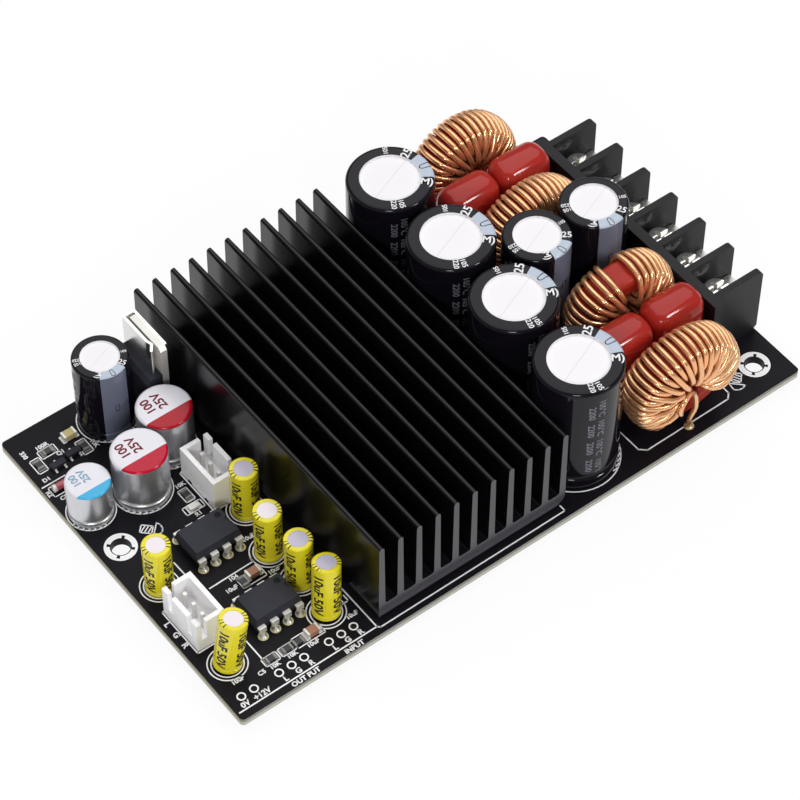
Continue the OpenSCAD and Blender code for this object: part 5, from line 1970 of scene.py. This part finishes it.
@dataclass
class PlainParts:
    """Nodes whose solids are shown as they are, with their finishes.

    Attributes:
        mark_r: Radius of a chip's pin mark, in millimetres.
        mark_in: Distance of the mark's middle from the chip's sides, in millimetres.
    """

    mark_r: float = 0.6
    mark_in: float = 1.5

    def build(self) -> None:
        """Dress the nodes."""
        clamps, screws = ([f"terminal_{part}_{i}" for i in range(1, 7)] for part in ("clamp", "screw"))
        plan: dict[Finish, list[str]] = {
            ANODISED: ["heatsink"],
            ZINC: ["heatsink_screws"],
            CHIP: ["amplifier_chip", "signal_chip_rear", "signal_chip_front", "regulator_body"],
            TERMINAL: ["terminal_housing"],
            NICKEL: ["terminal_contacts"] + clamps,
            BRIGHT_NICKEL: screws,
            NYLON: ["signal_plug_rear", "signal_plug_front"],
            TIN: ["plug_pin_posts", "signal_chip_leads", "regulator_tab"],
            SPRING: ["regulator_clip"],
        }
        for finish, names in plan.items():
            for name in names:
                dress(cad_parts[name], finish)
            LOG.info("%s on %s", finish.name, ", ".join(names))
        marks = [self.pin_mark(name) for name in ("signal_chip_rear", "signal_chip_front")]
        mount(dress(join(marks, "chip_pin_marks"), DENT), "chip_plastic")

    def pin_mark(self, node: str) -> Piece:
        """Model the round mark beside the first pin of a signal chip.

        Args:
            node: CAD node of the chip.

        Returns:
            The mark.
        """
        _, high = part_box(node)
        deselect_all()
        bpy.ops.mesh.primitive_circle_add(
            vertices=RING_STEPS, radius=self.mark_r * MM, fill_type="NGON",
            location=high + Vector((-self.mark_in, -self.mark_in, 0)) * MM + Vector((0, 0, PRINT_LIFT)))
        return thicken(settle(bpy.context.object), PRINT_DEPTH)


# Camera, light and floor


@dataclass
class Studio:
    """Pale floor, soft lamps and the photograph's camera.

    Attributes:
        azimuth: Turn of the view from the front, in degrees.
        elevation: Height of the view, in degrees.
        roll: Roll of the view, in degrees.
        distance: Distance of the board's middle along the view, in millimetres.
        aside: Place of the board's middle in the view, to the right and down, in millimetres.
        focal_px: Focal length in pixels of the picture.
        picture_px: Width of the picture in pixels.
        sensor: Width of the camera's sensor in millimetres.
        near: Nearest distance that the camera sees, in metres.
        lamps: Name, place and side in metres, and power in watts of each lamp.
        sky: Strength of the even room light.
        floor_size: Side of the floor in metres.
        floor_drop: Depth of the floor under the part, in metres.
        floor_colour: Colour of the floor.
        floor_rough: Roughness of the floor.
        floor_white: Share of plain white that the floor shows, the rest is lit and holds the shadow.
    """

    azimuth: float = -37.526
    elevation: float = 51.115
    roll: float = -0.097
    distance: float = 550.555
    aside: tuple[float, float] = (0.689, 1.149)
    focal_px: float = 3143.83
    picture_px: float = 800.0
    sensor: float = 36.0
    near: float = 0.01
    lamps: tuple[tuple[str, tuple[float, float, float], float, float], ...] = (
        ("overhead", (0.2, 0.3, 1.1), 1.6, 12.5), ("front_left", (-0.5, -0.6, 0.5), 0.2, 2.6),
        ("front_right", (0.4, -0.66, 0.7), 0.16, 2.8))
    sky: float = 0.24
    floor_size: float = 6.0
    floor_drop: float = 0.0002
    floor_colour: str = "#f2f2f2"
    floor_rough: float = 0.9
    floor_white: float = 0.93

    def camera(self, board: Board) -> None:
        """Place the camera.

        Args:
            board: Board whose middle the view is measured from.
        """
        turn, rise, roll = (math.radians(v) for v in (self.azimuth, self.elevation, self.roll))
        back = Vector((math.sin(turn) * math.cos(rise), -math.cos(turn) * math.cos(rise), math.sin(rise)))
        right = Vector((math.cos(turn), math.sin(turn), 0))
        up = back.cross(right)
        right, up = (right * math.cos(roll) - up * math.sin(roll),
                     up * math.cos(roll) + right * math.sin(roll))
        place = board.middle + (back * self.distance - right * self.aside[0] + up * self.aside[1]) * MM
        bpy.ops.object.camera_add(location=place)
        camera = bpy.context.object
        camera.matrix_world = Matrix.Translation(place) @ Matrix((right, up, back)).transposed().to_4x4()
        camera.data.sensor_width = self.sensor
        camera.data.lens = self.focal_px / self.picture_px * self.sensor
        camera.data.clip_start = self.near
        bpy.context.scene.camera = camera

    def lamp(self, name: str, place: Sequence[float], size: float, power: float) -> None:
        """Add one soft lamp that looks at the object.

        Args:
            name: Name of the lamp.
            place: Place in metres.
            size: Side of the lamp in metres.
            power: Power in watts.
        """
        bpy.ops.object.light_add(type="AREA", location=place)
        lamp = bpy.context.object
        lamp.name = name
        lamp.data.size = size
        lamp.data.energy = power
        lamp.rotation_euler = (-Vector(place)).to_track_quat("-Z", "Y").to_euler()

    def floor(self) -> None:
        """Add the pale floor, white to the camera and in gloss, with the object's soft shadow on it."""
        deselect_all()
        bpy.ops.mesh.primitive_plane_add(size=self.floor_size, location=(0, 0, -self.floor_drop))
        floor = bpy.context.object
        floor.name = "floor"
        made, wiring, shader = start_material("pale_floor")
        shader.inputs["Base Color"].default_value = linear(self.floor_colour)
        shader.inputs["Roughness"].default_value = self.floor_rough
        shader.inputs["Specular IOR Level"].default_value = 0.0
        rays = wiring.add("ShaderNodeLightPath")
        seen = wiring.either(rays.outputs["Is Camera Ray"], rays.outputs["Is Glossy Ray"])
        seen = wiring.either(seen, rays.outputs["Is Transmission Ray"])
        white = wiring.add("ShaderNodeEmission")
        blend = wiring.add("ShaderNodeMixShader")
        wiring.feed(blend.inputs[0], wiring.math("MULTIPLY", seen, self.floor_white))
        wiring.feed(blend.inputs[1], shader.outputs[0])
        wiring.feed(blend.inputs[2], white.outputs[0])
        output = next(node for node in made.node_tree.nodes if node.type == "OUTPUT_MATERIAL")
        wiring.feed(output.inputs["Surface"], blend.outputs[0])
        floor.data.materials.append(made)

    def world(self) -> None:
        """Light the room with an even pale sky."""
        world = bpy.data.worlds.new("studio")
        bpy.context.scene.world = world
        world.use_nodes = True
        sky = world.node_tree.nodes["Background"]
        sky.inputs[0].default_value = (1, 1, 1, 1)
        sky.inputs[1].default_value = self.sky

    def build(self, board: Board) -> None:
        """Set up the view.

        Args:
            board: Board that the camera looks at.
        """
        self.camera(board)
        self.floor()
        self.world()
        for lamp in self.lamps:
            self.lamp(*lamp)
        bpy.context.scene.view_settings.view_transform = "Standard"


def main() -> None:
    """Build every sub-assembly, then the view."""
    logging.basicConfig(level=logging.INFO, format="%(name)s: %(message)s")
    board = Board()
    board.build()
    PlainParts().build()
    Capacitors().build(board)
    FilmCapacitors().build(board)
    Toroids().build(board)
    SmallParts().build(board)
    Studio().build(board)


if __name__ == "__main__":
    main()
